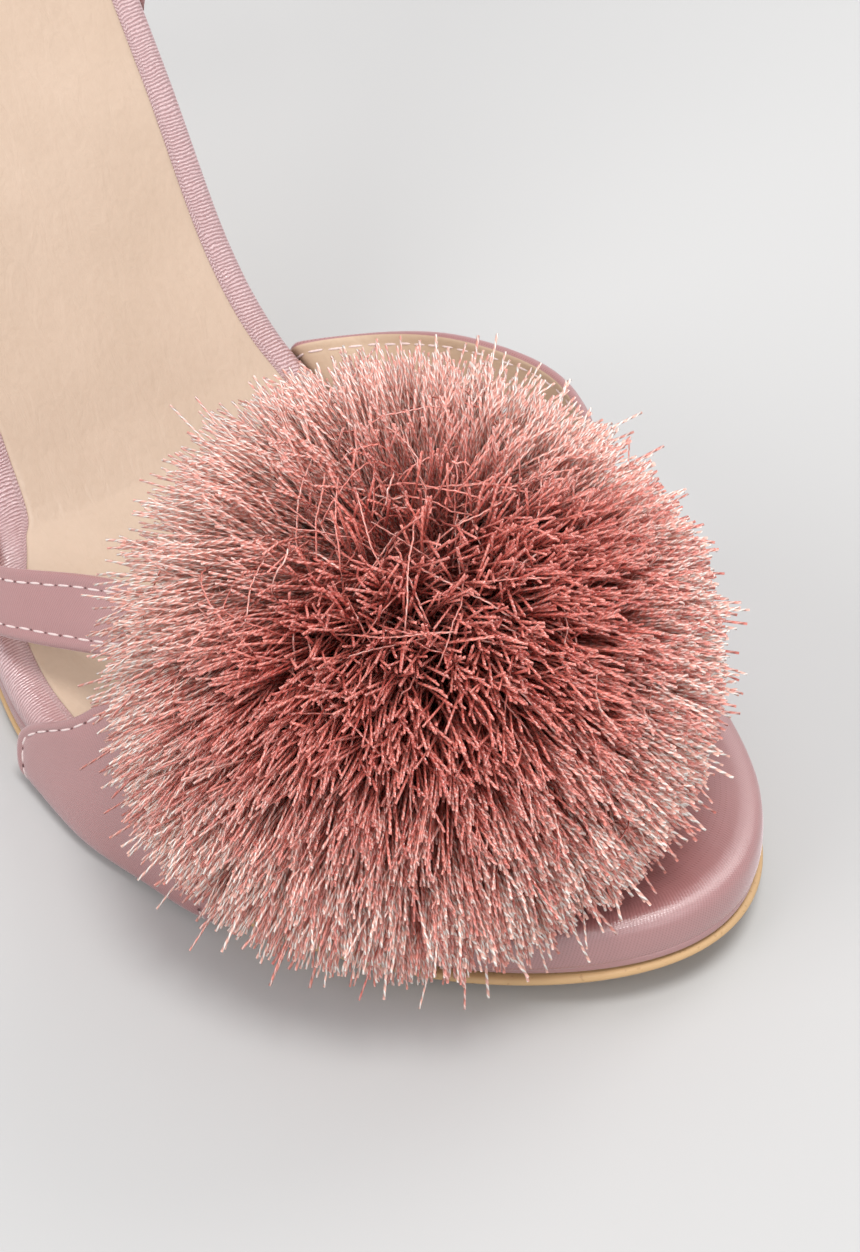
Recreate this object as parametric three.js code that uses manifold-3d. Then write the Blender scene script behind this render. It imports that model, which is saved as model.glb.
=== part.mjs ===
// Open-toe stiletto sandal for a right foot, in millimetres, toe towards +X and up along +Z.
// The origin is on the floor, under the middle of the ball of the foot.
import * as THREE from 'three';
import { mergeVertices } from 'three/addons/utils/BufferGeometryUtils.js';
import Module from 'manifold-3d';

const wasm = await Module();
wasm.setup();

// Sizes of the last
const ballWidth = 78;
const toeReach = 83; // ball line to the tip of the toe
const heelReach = 140; // ball line to the back of the heel seat
const seatHeight = 92; // floor to the underside of the sole, at the back of the seat
const toeSpring = 5;
const instepHeight = 37; // room under the toe band, at the ball line
const toeRoomHeight = 24; // room under the toe band, at the tip of the toe

// Layers of the sole
const clearance = 0.3;
const outsoleThick = 2.2;
const outsoleLip = 0.7; // how far the outsole stands out of the midsole
const midsoleBallThick = 2.3;
const midsoleWaistThick = 7;
const midsoleSeatThick = 4;
const insoleThick = 4.2;
const insoleLip = 0.5;
const sockThick = 0.8;
const sockInset = 4.5;
const sockFront = 30; // ball line to the front edge of the sock
const recessDepth = 0.8;

// Upper, counter and straps
const bandWall = 1.4;
const tuckDepth = 6;
const skivedWall = 0.8;
const counterWall = 1.8;
const counterHeight = 57; // at the back, above the seat
const counterBulge = 1.2;
const counterTaper = 5; // how far the topline leans in over the seat
const ankleLength = 76; // inside the ankle strap, front to back
const ankleWidth = 62;
const ankleRise = 14; // middle of the ankle strap above the counter's topline
const ankleStrapWidth = 11.5;
const ankleWall = 1.6;
const ankleTilt = 0.05; // the strap climbs this much for each millimetre forward
const loopWidth = 11;
const loopWall = 1.4;
const buckleSpan = 14;
const buckleWire = 1; // radius
const prongWire = 0.6; // radius

// Heel
const liftHeight = 6;

// Pompom
const pompomRadius = 41;
const pompomTie = { along: 0.57, side: -0.31 }; // on the toe band, as in its table

// Outline of the last: along is a share of the reach, half of half the ball width,
// and middle, towards +Y, of the ball width.
const outlineRows = [
  { along: -0.843, half: 0.618, middle: 0.002 },
  { along: -0.68, half: 0.58, middle: -0.003 },
  { along: -0.5, half: 0.549, middle: -0.01 },
  { along: -0.345, half: 0.582, middle: -0.032 },
  { along: -0.215, half: 0.66, middle: -0.012 },
  { along: -0.136, half: 0.79, middle: -0.004 },
  { along: -0.057, half: 0.945, middle: 0 },
  { along: 0.06, half: 1, middle: 0 },
  { along: 0.155, half: 1.004, middle: 0 },
];
const toeShift = 0.118; // the toe's tip towards +Y, as a share of the ball width
const toeRoundness = 1.97;
const heelRoundness = 2.25;

// Side view of the underside: along as above, rise a share of the seat's height
// behind the ball and of the toe spring in front of it.
const riseRows = [
  { along: -1, rise: 1 },
  { along: -0.86, rise: 0.875 },
  { along: -0.72, rise: 0.73 },
  { along: -0.6, rise: 0.585 },
  { along: -0.49, rise: 0.42 },
  { along: -0.36, rise: 0.205 },
  { along: -0.26, rise: 0.075 },
  { along: -0.18, rise: 0.015 },
  { along: -0.11, rise: 0 },
  { along: 0.28, rise: 0 },
  { along: 0.6, rise: 0.18 },
  { along: 0.8, rise: 0.48 },
  { along: 1, rise: 1 },
];

// Thickness of the midsole along the foot
const midsoleRows = [
  { along: -1, thick: midsoleSeatThick },
  { along: -0.72, thick: 0.5 * (midsoleSeatThick + midsoleWaistThick) },
  { along: -0.5, thick: midsoleWaistThick },
  { along: -0.33, thick: 0.93 * midsoleWaistThick },
  { along: -0.2, thick: 0.4 * midsoleWaistThick + 0.6 * midsoleBallThick },
  { along: 0, thick: midsoleBallThick },
  { along: 1, thick: midsoleBallThick },
];

const stationX = (along) => along * (along < 0 ? heelReach : toeReach);

// Monotone cubic curve through points of two numbers, straight past its ends
function curveThrough(points) {
  const slopes = points.slice(1).map((p, i) => (p[1] - points[i][1]) / (p[0] - points[i][0]));
  const tangents = points.map((p, i) => {
    if (i === 0) return slopes[0];
    if (i === points.length - 1) return slopes[i - 1];
    const [before, after] = [slopes[i - 1], slopes[i]];
    return before * after <= 0 ? 0 : (2 * before * after) / (before + after);
  });
  return (x) => {
    const last = points.length - 1;
    if (x <= points[0][0]) return points[0][1] + tangents[0] * (x - points[0][0]);
    if (x >= points[last][0]) return points[last][1] + tangents[last] * (x - points[last][0]);
    const i = points.findIndex((p) => p[0] > x) - 1;
    const span = points[i + 1][0] - points[i][0];
    const t = (x - points[i][0]) / span;
    const [a, b] = [points[i][1], points[i + 1][1]];
    const rise = (b - a) * (3 - 2 * t) * t * t;
    const bend = (tangents[i] * (1 - t) - tangents[i + 1] * t) * t * (1 - t) * span;
    return a + rise + bend;
  };
}

const treadHeight = curveThrough(
  riseRows.map((r) => [stationX(r.along), r.rise * (r.along < 0 ? seatHeight : toeSpring)]),
);
const midsoleThick = curveThrough(midsoleRows.map((r) => [stationX(r.along), r.thick]));
const halfCurve = curveThrough(outlineRows.map((r) => [stationX(r.along), (r.half * ballWidth) / 2]));
const middleCurve = curveThrough(outlineRows.map((r) => [stationX(r.along), r.middle * ballWidth]));
const heelRoundStart = stationX(outlineRows[0].along);
const toeRoundStart = stationX(outlineRows.at(-1).along);

// Half width and middle of the last's outline at x, let out by spread all round
function outline(x, spread, toeEnd = toeReach) {
  const inside = Math.min(Math.max(x, heelRoundStart), toeRoundStart);
  const toe = Math.max(0, (x - toeRoundStart) / (toeEnd + spread - toeRoundStart));
  const heel = Math.max(0, (heelRoundStart - x) / (heelReach + spread + heelRoundStart));
  const toeFactor = (1 - Math.min(1, toe) ** toeRoundness) ** (1 / toeRoundness);
  const heelFactor = (1 - Math.min(1, heel) ** heelRoundness) ** (1 / heelRoundness);
  const shift = toeShift * ballWidth * Math.max(0, (x - toeRoundStart) / (toeReach - toeRoundStart)) ** 1.5;
  return {
    half: (halfCurve(inside) + spread) * toeFactor * heelFactor,
    middle: middleCurve(inside) + shift,
  };
}

// Point over the tread line at x, sideways at y, at a level measured square to the sole
function onSole(x, y, level) {
  const tilt = Math.atan((treadHeight(x + 1) - treadHeight(x - 1)) / 2);
  return new THREE.Vector3(x - Math.sin(tilt) * level, y, treadHeight(x) + Math.cos(tilt) * level);
}

// Stations along the foot, closer together where the outline is round
const heelSteps = 8;
const waistSteps = 24;
const toeSteps = 12;
function stations(spread, toeEnd = toeReach, start = -Infinity) {
  const list = [];
  const heelSpan = heelReach + spread + heelRoundStart;
  for (let i = heelSteps; i > 0; i -= 1) {
    list.push(heelRoundStart - heelSpan * Math.sin((i / heelSteps) * (Math.PI / 2)));
  }
  for (let i = 0; i < waistSteps; i += 1) {
    list.push(heelRoundStart + (toeRoundStart - heelRoundStart) * (i / waistSteps));
  }
  for (let i = 0; i <= toeSteps; i += 1) {
    list.push(toeRoundStart + (toeEnd + spread - toeRoundStart) * Math.sin((i / toeSteps) * (Math.PI / 2)));
  }
  const kept = list.filter((x) => x > start + 0.5);
  return kept.length < list.length ? [start, ...kept] : kept;
}

// One ring of a layer: right and left edge points at each station
function soleRing({ spread, level, toeEnd, start }) {
  const height = typeof level === 'function' ? level : () => level;
  const ring = { right: [], left: [] };
  for (const x of stations(spread, toeEnd, start)) {
    const { half, middle } = outline(x, spread, toeEnd);
    ring.right.push(onSole(x, middle - half, height(x)));
    ring.left.push(onSole(x, middle + half, height(x)));
  }
  return ring;
}

// Closed geometry from a list of triangles, with shared corners joined and slivers dropped
function geometryFrom(triangles) {
  const soup = new THREE.BufferGeometry();
  const flat = triangles.flat().flatMap((p) => [p.x, p.y, p.z]);
  soup.setAttribute('position', new THREE.Float32BufferAttribute(flat, 3));
  const welded = mergeVertices(soup, 1e-3);
  const index = welded.getIndex().array;
  const kept = [];
  for (let i = 0; i < index.length; i += 3) {
    const [a, b, c] = index.slice(i, i + 3);
    if (a !== b && b !== c && c !== a) kept.push(a, b, c);
  }
  welded.setIndex(kept);
  return welded;
}

const quad = (a, b, c, d) => [[a, b, c], [a, c, d]];

// Solid between stacked rings, lowest first, closed by a cap at each end
function stackRings(rings) {
  const loops = rings.map((r) => [...r.right, ...[...r.left].reverse()]);
  const triangles = [];
  for (let k = 0; k + 1 < loops.length; k += 1) {
    for (let i = 0; i < loops[k].length; i += 1) {
      const j = (i + 1) % loops[k].length;
      triangles.push(...quad(loops[k][i], loops[k][j], loops[k + 1][j], loops[k + 1][i]));
    }
  }
  const [low, high] = [rings[0], rings.at(-1)];
  for (let i = 0; i + 1 < low.right.length; i += 1) {
    triangles.push(...quad(low.right[i], low.left[i], low.left[i + 1], low.right[i + 1]));
    triangles.push(...quad(high.right[i], high.right[i + 1], high.left[i + 1], high.left[i]));
  }
  return geometryFrom(triangles);
}

// Closed wall over a grid of points: its inner face, and the outer one a wall away along the normals
function wallOver(grid, wallAt, grow = 0) {
  const wide = grow > 0 ? growGrid(grid, grow) : grid;
  const rows = wide.length;
  const columns = wide[0].length;
  const inner = [];
  const outer = [];
  for (let i = 0; i < rows; i += 1) {
    inner.push([]);
    outer.push([]);
    for (let j = 0; j < columns; j += 1) {
      const along = wide[Math.min(i + 1, rows - 1)][j].clone().sub(wide[Math.max(i - 1, 0)][j]);
      const across = wide[i][Math.min(j + 1, columns - 1)].clone().sub(wide[i][Math.max(j - 1, 0)]);
      const normal = along.cross(across).normalize();
      inner[i].push(wide[i][j].clone().addScaledVector(normal, -grow));
      outer[i].push(wide[i][j].clone().addScaledVector(normal, wallAt(i / (rows - 1)) + grow));
    }
  }
  const triangles = [];
  for (let i = 0; i + 1 < rows; i += 1) {
    for (let j = 0; j + 1 < columns; j += 1) {
      triangles.push(...quad(outer[i][j], outer[i + 1][j], outer[i + 1][j + 1], outer[i][j + 1]));
      triangles.push(...quad(inner[i][j], inner[i][j + 1], inner[i + 1][j + 1], inner[i + 1][j]));
    }
    const j = columns - 1;
    triangles.push(...quad(inner[i][0], inner[i + 1][0], outer[i + 1][0], outer[i][0]));
    triangles.push(...quad(inner[i][j], outer[i][j], outer[i + 1][j], inner[i + 1][j]));
  }
  for (let j = 0; j + 1 < columns; j += 1) {
    const i = rows - 1;
    triangles.push(...quad(inner[0][j], outer[0][j], outer[0][j + 1], inner[0][j + 1]));
    triangles.push(...quad(inner[i][j], inner[i][j + 1], outer[i][j + 1], outer[i][j]));
  }
  return geometryFrom(triangles);
}

// The same grid, let out by grow along the surface on all four borders
function growGrid(grid, grow) {
  const beyond = (edge, before) => edge.clone().add(edge.clone().sub(before).setLength(grow));
  const wide = grid.map((row) => [beyond(row[0], row[1]), ...row.slice(1, -1), beyond(row.at(-1), row.at(-2))]);
  const first = wide[0].map((p, j) => beyond(p, wide[1][j]));
  const last = wide.at(-1).map((p, j) => beyond(p, wide.at(-2)[j]));
  return [first, ...wide.slice(1, -1), last];
}

function toManifold(geometry) {
  const bare = geometry.clone();
  for (const name of Object.keys(bare.attributes)) {
    if (name !== 'position') bare.deleteAttribute(name);
  }
  const merged = mergeVertices(bare, 1e-4);
  return new wasm.Manifold(new wasm.Mesh({
    numProp: 3,
    vertProperties: new Float32Array(merged.getAttribute('position').array),
    triVerts: new Uint32Array(merged.getIndex().array),
  }));
}

function fromManifold(solid) {
  const mesh = solid.getMesh();
  const geometry = new THREE.BufferGeometry();
  geometry.setAttribute('position', new THREE.BufferAttribute(mesh.vertProperties, 3));
  geometry.setIndex([...mesh.triVerts]);
  return geometry;
}

// The largest body of a solid, without the crumbs that a cut leaves
function mainBody(solid) {
  const bodies = solid.decompose();
  return bodies.reduce((best, body) => (body.volume() > best.volume() ? body : best));
}

const insoleBase = (x) => outsoleThick + clearance + midsoleThick(x) + clearance;
const insoleTop = (x) => insoleBase(x) + insoleThick;

// The tan outsole: a thin sheet with a rounded edge, from the heel's breast to the toe
const breastX = -0.715 * heelReach;
function outsole() {
  const start = breastX + clearance;
  return stackRings([
    { spread: outsoleLip - 0.5, level: 0, start },
    { spread: outsoleLip, level: 0.25 * outsoleThick, start },
    { spread: outsoleLip, level: 0.75 * outsoleThick, start },
    { spread: outsoleLip - 0.4, level: outsoleThick, start },
  ].map(soleRing));
}

// The covered midsole: thin under the toes, thick in the waist
function midsole() {
  const base = outsoleThick + clearance;
  return stackRings([
    { spread: -0.5, level: base },
    { spread: 0, level: (x) => base + 0.2 * midsoleThick(x) },
    { spread: 0, level: (x) => base + 0.8 * midsoleThick(x) },
    { spread: -0.5, level: (x) => base + midsoleThick(x) },
  ].map(soleRing));
}

// The covered insole: a padded board with a rolled edge and a shallow bed for the sock
function insole() {
  const bedSpread = clearance - sockInset;
  const bedFront = sockFront + sockInset;
  const rollRows = [
    { spread: -1.6, level: 0 },
    { spread: -0.4, level: 0.12 },
    { spread: insoleLip, level: 0.45 },
    { spread: insoleLip - 0.4, level: 0.76 },
    { spread: insoleLip - 1.6, level: 0.94 },
    { spread: insoleLip - 3, level: 1 },
  ];
  const middleFront = 0.5 * (bedFront + toeReach);
  return stackRings([
    ...rollRows.map((r) => ({ spread: r.spread, level: (x) => insoleBase(x) + r.level * insoleThick })),
    { spread: 0.5 * (bedSpread + insoleLip - 3), level: insoleTop, toeEnd: middleFront },
    { spread: bedSpread, level: insoleTop, toeEnd: bedFront },
    { spread: bedSpread, level: (x) => insoleTop(x) - recessDepth, toeEnd: bedFront },
  ].map(soleRing));
}

// The sock: the leather sheet that the foot stands on, let into the insole's bed
function sock() {
  const base = (x) => insoleTop(x) - recessDepth + clearance;
  const toeEnd = sockFront + sockInset;
  return stackRings([
    { spread: -sockInset, level: base, toeEnd },
    { spread: -sockInset, level: (x) => base(x) + sockThick, toeEnd },
  ].map(soleRing));
}

const roomHeight = (x) => instepHeight + (toeRoomHeight - instepHeight) * (x / toeReach);
const rootLevel = outsoleThick + clearance + skivedWall;

// Control points where a strap comes out of the sole on one side, +1 towards +Y, at x
const rootPoints = 5;
function strapRoot(x, side) {
  const { half, middle } = outline(x, 0);
  const wall = 1.3; // the inner face stands this far off the last's outline
  return [
    onSole(x, middle + side * (half - tuckDepth), rootLevel),
    onSole(x, middle + side * (half - 0.45 * tuckDepth), rootLevel),
    onSole(x, middle + side * (half - 0.6), rootLevel + 0.1),
    onSole(x, middle + side * (half + wall), rootLevel + 2.2),
    onSole(x, middle + side * (half + wall), 0.9 * insoleTop(x)),
  ];
}

// Smooth lines through the columns of control points, cut into a grid of steps rows
function gridThrough(columns, steps) {
  const lines = columns.map((points) => new THREE.CatmullRomCurve3(points, false, 'centripetal'));
  const rows = [];
  for (let i = 0; i <= steps; i += 1) rows.push(lines.map((line) => line.getPoint(i / steps)));
  return rows;
}

// The toe band over the foot, from the sole's near side (-Y) to the far one: side is a share of
// the half width, height of the room, rear and front of the reach to the toe.
const bandRows = [
  { side: -0.97, height: 0.42, rear: 0.2, front: 0.55 },
  { side: -0.8, height: 0.68, rear: 0.27, front: 0.58 },
  { side: -0.48, height: 0.9, rear: 0.34, front: 0.61 },
  { side: 0, height: 1, rear: 0.37, front: 0.62 },
  { side: 0.5, height: 0.96, rear: 0.35, front: 0.61 },
  { side: 0.84, height: 0.78, rear: 0.29, front: 0.58 },
  { side: 1.02, height: 0.48, rear: 0.22, front: 0.55 },
];
const bandRootRear = 0.075;
const bandRootFront = 0.52;
const bandColumns = 5;
const bandSteps = 42;

function bandGrid() {
  const columns = [];
  for (let k = 0; k < bandColumns; k += 1) {
    const across = 1 - k / (bandColumns - 1);
    const rootX = toeReach * (bandRootRear + (bandRootFront - bandRootRear) * across);
    const middleRows = bandRows.map((r) => {
      const x = toeReach * (r.rear + (r.front - r.rear) * across);
      const { half, middle } = outline(x, 0);
      return new THREE.Vector3(x, middle + r.side * half, treadHeight(x) + rootLevel + r.height * roomHeight(x));
    });
    columns.push([...strapRoot(rootX, -1), ...middleRows, ...strapRoot(rootX, 1).reverse()]);
  }
  return gridThrough(columns, bandSteps);
}

// The two side straps from the waist to the underside of the toe band. Shares: x of the reach to the
// toe, y of half the ball width, z of the instep's height, for the strap's upper and lower edge.
const nearStrap = {
  side: -1,
  rootUpper: -0.36,
  rootLower: -0.17,
  rows: [
    { upper: [-0.2, -0.83, 0.43], lower: [-0.1, -0.94, 0.32] },
    { upper: [0.06, -0.71, 0.74], lower: [0.1, -0.83, 0.52] },
    { upper: [0.26, -0.5, 0.86], lower: [0.3, -0.66, 0.71] },
    { upper: [0.4, -0.24, 0.885], lower: [0.44, -0.42, 0.84] },
  ],
};
const farStrap = {
  side: 1,
  rootUpper: -0.46,
  rootLower: -0.28,
  rows: [
    { upper: [-0.31, 0.805, 0.54], lower: [-0.23, 0.775, 0.38] },
    { upper: [-0.14, 0.915, 0.73], lower: [-0.11, 0.93, 0.5] },
    { upper: [0.04, 1, 0.84], lower: [0.06, 1.02, 0.58] },
    { upper: [0.15, 0.98, 0.88], lower: [0.17, 1.01, 0.63] },
    { upper: [0.28, 0.84, 0.92], lower: [0.3, 0.93, 0.72] },
    { upper: [0.4, 0.36, 0.955], lower: [0.44, 0.5, 0.925] },
  ],
};
const strapColumns = 3;
const strapSteps = 24;

function strapGrid(strap) {
  const place = ([x, y, z]) => new THREE.Vector3(x * toeReach, (y * ballWidth) / 2, z * instepHeight);
  const columns = [];
  for (let k = 0; k < strapColumns; k += 1) {
    const across = strap.side > 0 ? k / (strapColumns - 1) : 1 - k / (strapColumns - 1);
    const rootX = toeReach * (strap.rootUpper + (strap.rootLower - strap.rootUpper) * across);
    const free = strap.rows.map((r) => place(r.upper).lerp(place(r.lower), across));
    columns.push([...strapRoot(rootX, strap.side), ...free]);
  }
  return gridThrough(columns, strapSteps);
}

// Wall along a strap of so many spans: skived thin where it is tucked into the sole
function skivedFrom(spans, bothEnds) {
  return (share) => {
    const fromEnd = spans * (bothEnds ? Math.min(share, 1 - share) : share);
    const ramp = Math.min(1, Math.max(0, (fromEnd - 2) / 1.2));
    return skivedWall + (bandWall - skivedWall) * ramp;
  };
}

function upperSolid(grow) {
  const band = toManifold(wallOver(bandGrid(), skivedFrom(bandRows.length + 2 * rootPoints - 1, true), grow));
  const [near, far] = [nearStrap, farStrap].map((strap) => {
    return toManifold(wallOver(strapGrid(strap), skivedFrom(strap.rows.length + rootPoints - 1, false), grow));
  });
  return mainBody(band.add(near).add(far));
}

// The counter: a wall from the seat's edge round the back of the heel, low at its front tips.
// along is a share of the heel's reach and height one of the counter's height.
const toplineRows = [
  { along: -1, height: 1 },
  { along: -0.93, height: 0.93 },
  { along: -0.83, height: 0.77 },
  { along: -0.74, height: 0.58 },
  { along: -0.66, height: 0.41 },
  { along: -0.6, height: 0.27 },
  { along: -0.56, height: 0.17 },
  { along: -0.535, height: 0.1 },
];
const toplineHeight = curveThrough(toplineRows.map((r) => [stationX(r.along), r.height * counterHeight]));
const counterSpread = insoleLip + clearance;
const counterRoot = outsoleThick + clearance;
const counterSteps = 6;
const counterDrop = 1; // cut away again, level with the top of the outsole and the heel

// Shift of the counter's wall outwards at a height above the seat
function counterLean(height) {
  const share = Math.max(0, height / counterHeight);
  return counterBulge * Math.sin(Math.PI * Math.min(1, share / 0.63)) - counterTaper * share ** 2;
}

function counterGrid() {
  const frontX = stationX(toplineRows.at(-1).along);
  const xs = [...stations(counterSpread).filter((x) => x < frontX - 1), frontX];
  const edge = (x, side) => {
    const { half, middle } = outline(x, counterSpread);
    return { x, y: middle + side * half, side };
  };
  const path = [...xs.slice(1).reverse().map((x) => edge(x, 1)), ...xs.map((x) => edge(x, -1))];
  return path.map((point, i) => {
    const before = path[Math.max(i - 1, 0)];
    const after = path[Math.min(i + 1, path.length - 1)];
    const outward = new THREE.Vector3(after.y - before.y, before.x - after.x, 0).normalize();
    const root = onSole(point.x, point.y, counterRoot);
    const upright = Math.min(1, Math.max(0, (frontX - point.x) / (0.3 * heelReach)));
    const up = onSole(point.x, point.y, counterRoot + 1).sub(root).lerp(new THREE.Vector3(0, 0, 1), upright);
    up.normalize();
    const row = [];
    for (let k = 0; k <= counterSteps; k += 1) {
      const height = (toplineHeight(point.x) + counterDrop) * (k / counterSteps) - counterDrop;
      row.push(root.clone().addScaledVector(up, height).addScaledVector(outward, counterLean(height)));
    }
    return row;
  });
}

function counter() {
  const spread = 3 * counterSpread + counterWall;
  const under = stackRings([
    { spread, level: -2 * counterWall },
    { spread, level: counterRoot },
  ].map(soleRing));
  const wall = toManifold(wallOver(counterGrid(), () => counterWall));
  return fromManifold(mainBody(wall.subtract(toManifold(under))));
}

// The covered heel, from the top lift up to the seat: level is a share of the seat's height, back and
// front of the heel's reach, half of half the ball width, slope the tilt of the section.
const heelRows = [
  { level: 0, back: -0.906, front: -0.843, half: 0.116, slope: 0, square: 0.66 },
  { level: 0.12, back: -0.908, front: -0.841, half: 0.12, slope: 0, square: 0.66 },
  { level: 0.27, back: -0.915, front: -0.836, half: 0.135, slope: 0.02, square: 0.66 },
  { level: 0.42, back: -0.931, front: -0.824, half: 0.175, slope: 0.08, square: 0.7 },
  { level: 0.56, back: -0.955, front: -0.802, half: 0.25, slope: 0.18, square: 0.76 },
  { level: 0.68, back: -0.98, front: -0.771, half: 0.365, slope: 0.32, square: 0.82 },
  { level: 0.775, back: -1, front: -0.738, half: 0.49, slope: 0.46, square: 0.88 },
];
const seatSpread = counterSpread + counterWall;

// Half width of the heel's section from its back (0) to its breast (1), as a share
function heelSection(t, square) {
  const round = 0.55;
  if (t < round) return (1 - (1 - t / round) ** 2.2) ** (1 / 2.2);
  return 1 - (1 - square) * ((t - round) / (1 - round)) ** 2;
}

function heelRing(row, shares, scale = 1, drop = 0) {
  const [back, front] = [stationX(row.back), stationX(row.front)];
  const middleX = 0.5 * (back + front);
  const ring = { right: [], left: [] };
  for (const t of shares) {
    const x = middleX + scale * (back + (front - back) * t - middleX);
    const half = (scale * row.half * heelSection(t, row.square) * ballWidth) / 2;
    const z = liftHeight + clearance + row.level * (seatHeight - liftHeight) - row.slope * (x - middleX) - drop;
    ring.right.push(new THREE.Vector3(x, -half, z));
    ring.left.push(new THREE.Vector3(x, half, z));
  }
  return ring;
}

const seatXs = [...stations(seatSpread).filter((x) => x < breastX - 1), breastX];
const heelShares = seatXs.map((x) => (x - seatXs[0]) / (breastX - seatXs[0]));

function heel() {
  const seat = { right: [], left: [] };
  for (const x of seatXs) {
    const { half, middle } = outline(x, seatSpread);
    seat.right.push(onSole(x, middle - half, outsoleThick));
    seat.left.push(onSole(x, middle + half, outsoleThick));
  }
  return stackRings([...heelRows.map((row) => heelRing(row, heelShares)), seat]);
}

function topLift() {
  const foot = heelRows[0];
  const top = liftHeight + clearance;
  return stackRings([
    heelRing(foot, heelShares, 0.95, top),
    heelRing(foot, heelShares, 1.02, top - 0.1 * liftHeight),
    heelRing(foot, heelShares, 1.02, top - 0.85 * liftHeight),
    heelRing(foot, heelShares, 0.99, clearance),
  ]);
}

// The ankle strap stands over the back of the counter
const counterTop = onSole(-heelReach - counterSpread, 0, counterRoot);
const toplineBack = { x: counterTop.x + counterTaper, z: counterTop.z + counterHeight };
const ankleMiddle = { x: toplineBack.x + ankleLength / 2, z: toplineBack.z + ankleRise };

// Point on the ankle strap: angle round the ankle in degrees, out from its inner face, up from its middle
function onAnkle(angle, out, up) {
  const a = THREE.MathUtils.degToRad(angle);
  const normal = new THREE.Vector3(Math.cos(a) / ankleLength, Math.sin(a) / ankleWidth, 0).normalize();
  const point = new THREE.Vector3(
    (ankleLength / 2) * Math.cos(a) + normal.x * out,
    (ankleWidth / 2) * Math.sin(a) + normal.y * out,
    up,
  );
  point.z += ankleTilt * (point.x + ankleLength / 2);
  return point.add(new THREE.Vector3(ankleMiddle.x, 0, ankleMiddle.z));
}

// Angles on the outer side of the ankle: the strap starts behind the buckle's inner bar, goes once
// round, passes under the outer bar and over the inner one, and its end lies on its own start.
const perDegree = THREE.MathUtils.degToRad(ankleLength / 2);
const innerBar = -92;
const outerBar = innerBar + buckleSpan / perDegree;
const strapStart = innerBar - (buckleWire + clearance) / perDegree;
const tailDegrees = 48;
const strapStep = 7.5;

function smooth(t) {
  const s = Math.min(1, Math.max(0, t));
  return s * s * (3 - 2 * s);
}

function strapOut(angle) {
  const passed = outerBar - 360 - angle; // degrees beyond the outer bar
  const climb = 2 * buckleWire + 1.4 * clearance;
  const overStrap = ankleWall + clearance;
  const span = buckleSpan / perDegree;
  return climb * smooth(passed / (0.9 * span)) + (overStrap - climb) * smooth(passed / span - 1.3);
}

function ankleStrap() {
  const end = innerBar - 360 - tailDegrees;
  const count = Math.round((strapStart - end) / strapStep);
  const rows = [];
  for (let i = 0; i <= count; i += 1) {
    const angle = strapStart + ((end - strapStart) * i) / count;
    const toEnd = (angle - end) * perDegree;
    const half = (ankleStrapWidth / 2) * (toEnd < 5 ? 0.55 + 0.45 * Math.sqrt(1 - (1 - toEnd / 5) ** 2) : 1);
    const out = strapOut(angle);
    rows.push([onAnkle(angle, out, half), onAnkle(angle, out, 0), onAnkle(angle, out, -half)]);
  }
  return wallOver(rows, () => ankleWall);
}

// Tube of round wire along a smooth line through points, closed on itself or with flat ends
function wire(points, radius, closed, steps, sides = 8) {
  const line = new THREE.CatmullRomCurve3(points, closed, 'catmullrom', 0.3);
  const frames = line.computeFrenetFrames(steps, closed);
  const rings = [];
  for (let i = 0; i < steps + (closed ? 0 : 1); i += 1) {
    const centre = line.getPointAt(i / steps);
    const ring = [];
    for (let k = 0; k < sides; k += 1) {
      const a = (2 * Math.PI * k) / sides;
      ring.push(centre.clone()
        .addScaledVector(frames.normals[i], radius * Math.cos(a))
        .addScaledVector(frames.binormals[i], radius * Math.sin(a)));
    }
    rings.push(ring);
  }
  const triangles = [];
  const last = closed ? rings.length : rings.length - 1;
  for (let i = 0; i < last; i += 1) {
    const [here, next] = [rings[i], rings[(i + 1) % rings.length]];
    for (let k = 0; k < sides; k += 1) {
      const j = (k + 1) % sides;
      triangles.push(...quad(here[k], here[j], next[j], next[k]));
    }
  }
  if (!closed) {
    for (let k = 1; k + 1 < sides; k += 1) {
      triangles.push([rings[0][0], rings[0][k + 1], rings[0][k]]);
      triangles.push([rings.at(-1)[0], rings.at(-1)[k], rings.at(-1)[k + 1]]);
    }
  }
  return geometryFrom(triangles);
}

const outerBarOut = ankleWall + clearance + buckleWire;
function buckleFrame() {
  const high = ankleStrapWidth / 2 + clearance + buckleWire;
  const between = 0.5 * (innerBar + outerBar);
  const points = [
    onAnkle(innerBar, buckleWire, -0.55 * high),
    onAnkle(innerBar, buckleWire, 0.55 * high),
    onAnkle(innerBar + 1.2, 1.1 * buckleWire, high),
    onAnkle(between, 0.5 * (buckleWire + outerBarOut), 1.05 * high),
    onAnkle(outerBar - 1.2, outerBarOut, high),
    onAnkle(outerBar, outerBarOut, 0.55 * high),
    onAnkle(outerBar, outerBarOut, -0.55 * high),
    onAnkle(outerBar - 1.2, outerBarOut, -high),
    onAnkle(between, 0.5 * (buckleWire + outerBarOut), -1.05 * high),
    onAnkle(innerBar + 1.2, 1.1 * buckleWire, -high),
  ];
  return wire(points, buckleWire, true, 32);
}

function buckleProng(radius) {
  const rest = outerBarOut + buckleWire + clearance + prongWire;
  const points = [
    onAnkle(innerBar + (buckleWire + clearance + prongWire) / perDegree, buckleWire, 0),
    onAnkle(innerBar + 5, 3.3, 0),
    onAnkle(outerBar - 6, rest - 0.1, 0),
    onAnkle(outerBar, rest, 0),
    onAnkle(outerBar + 2.5, rest - 0.1, 0),
  ];
  return wire(points, radius, false, 12, 6);
}

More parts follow.
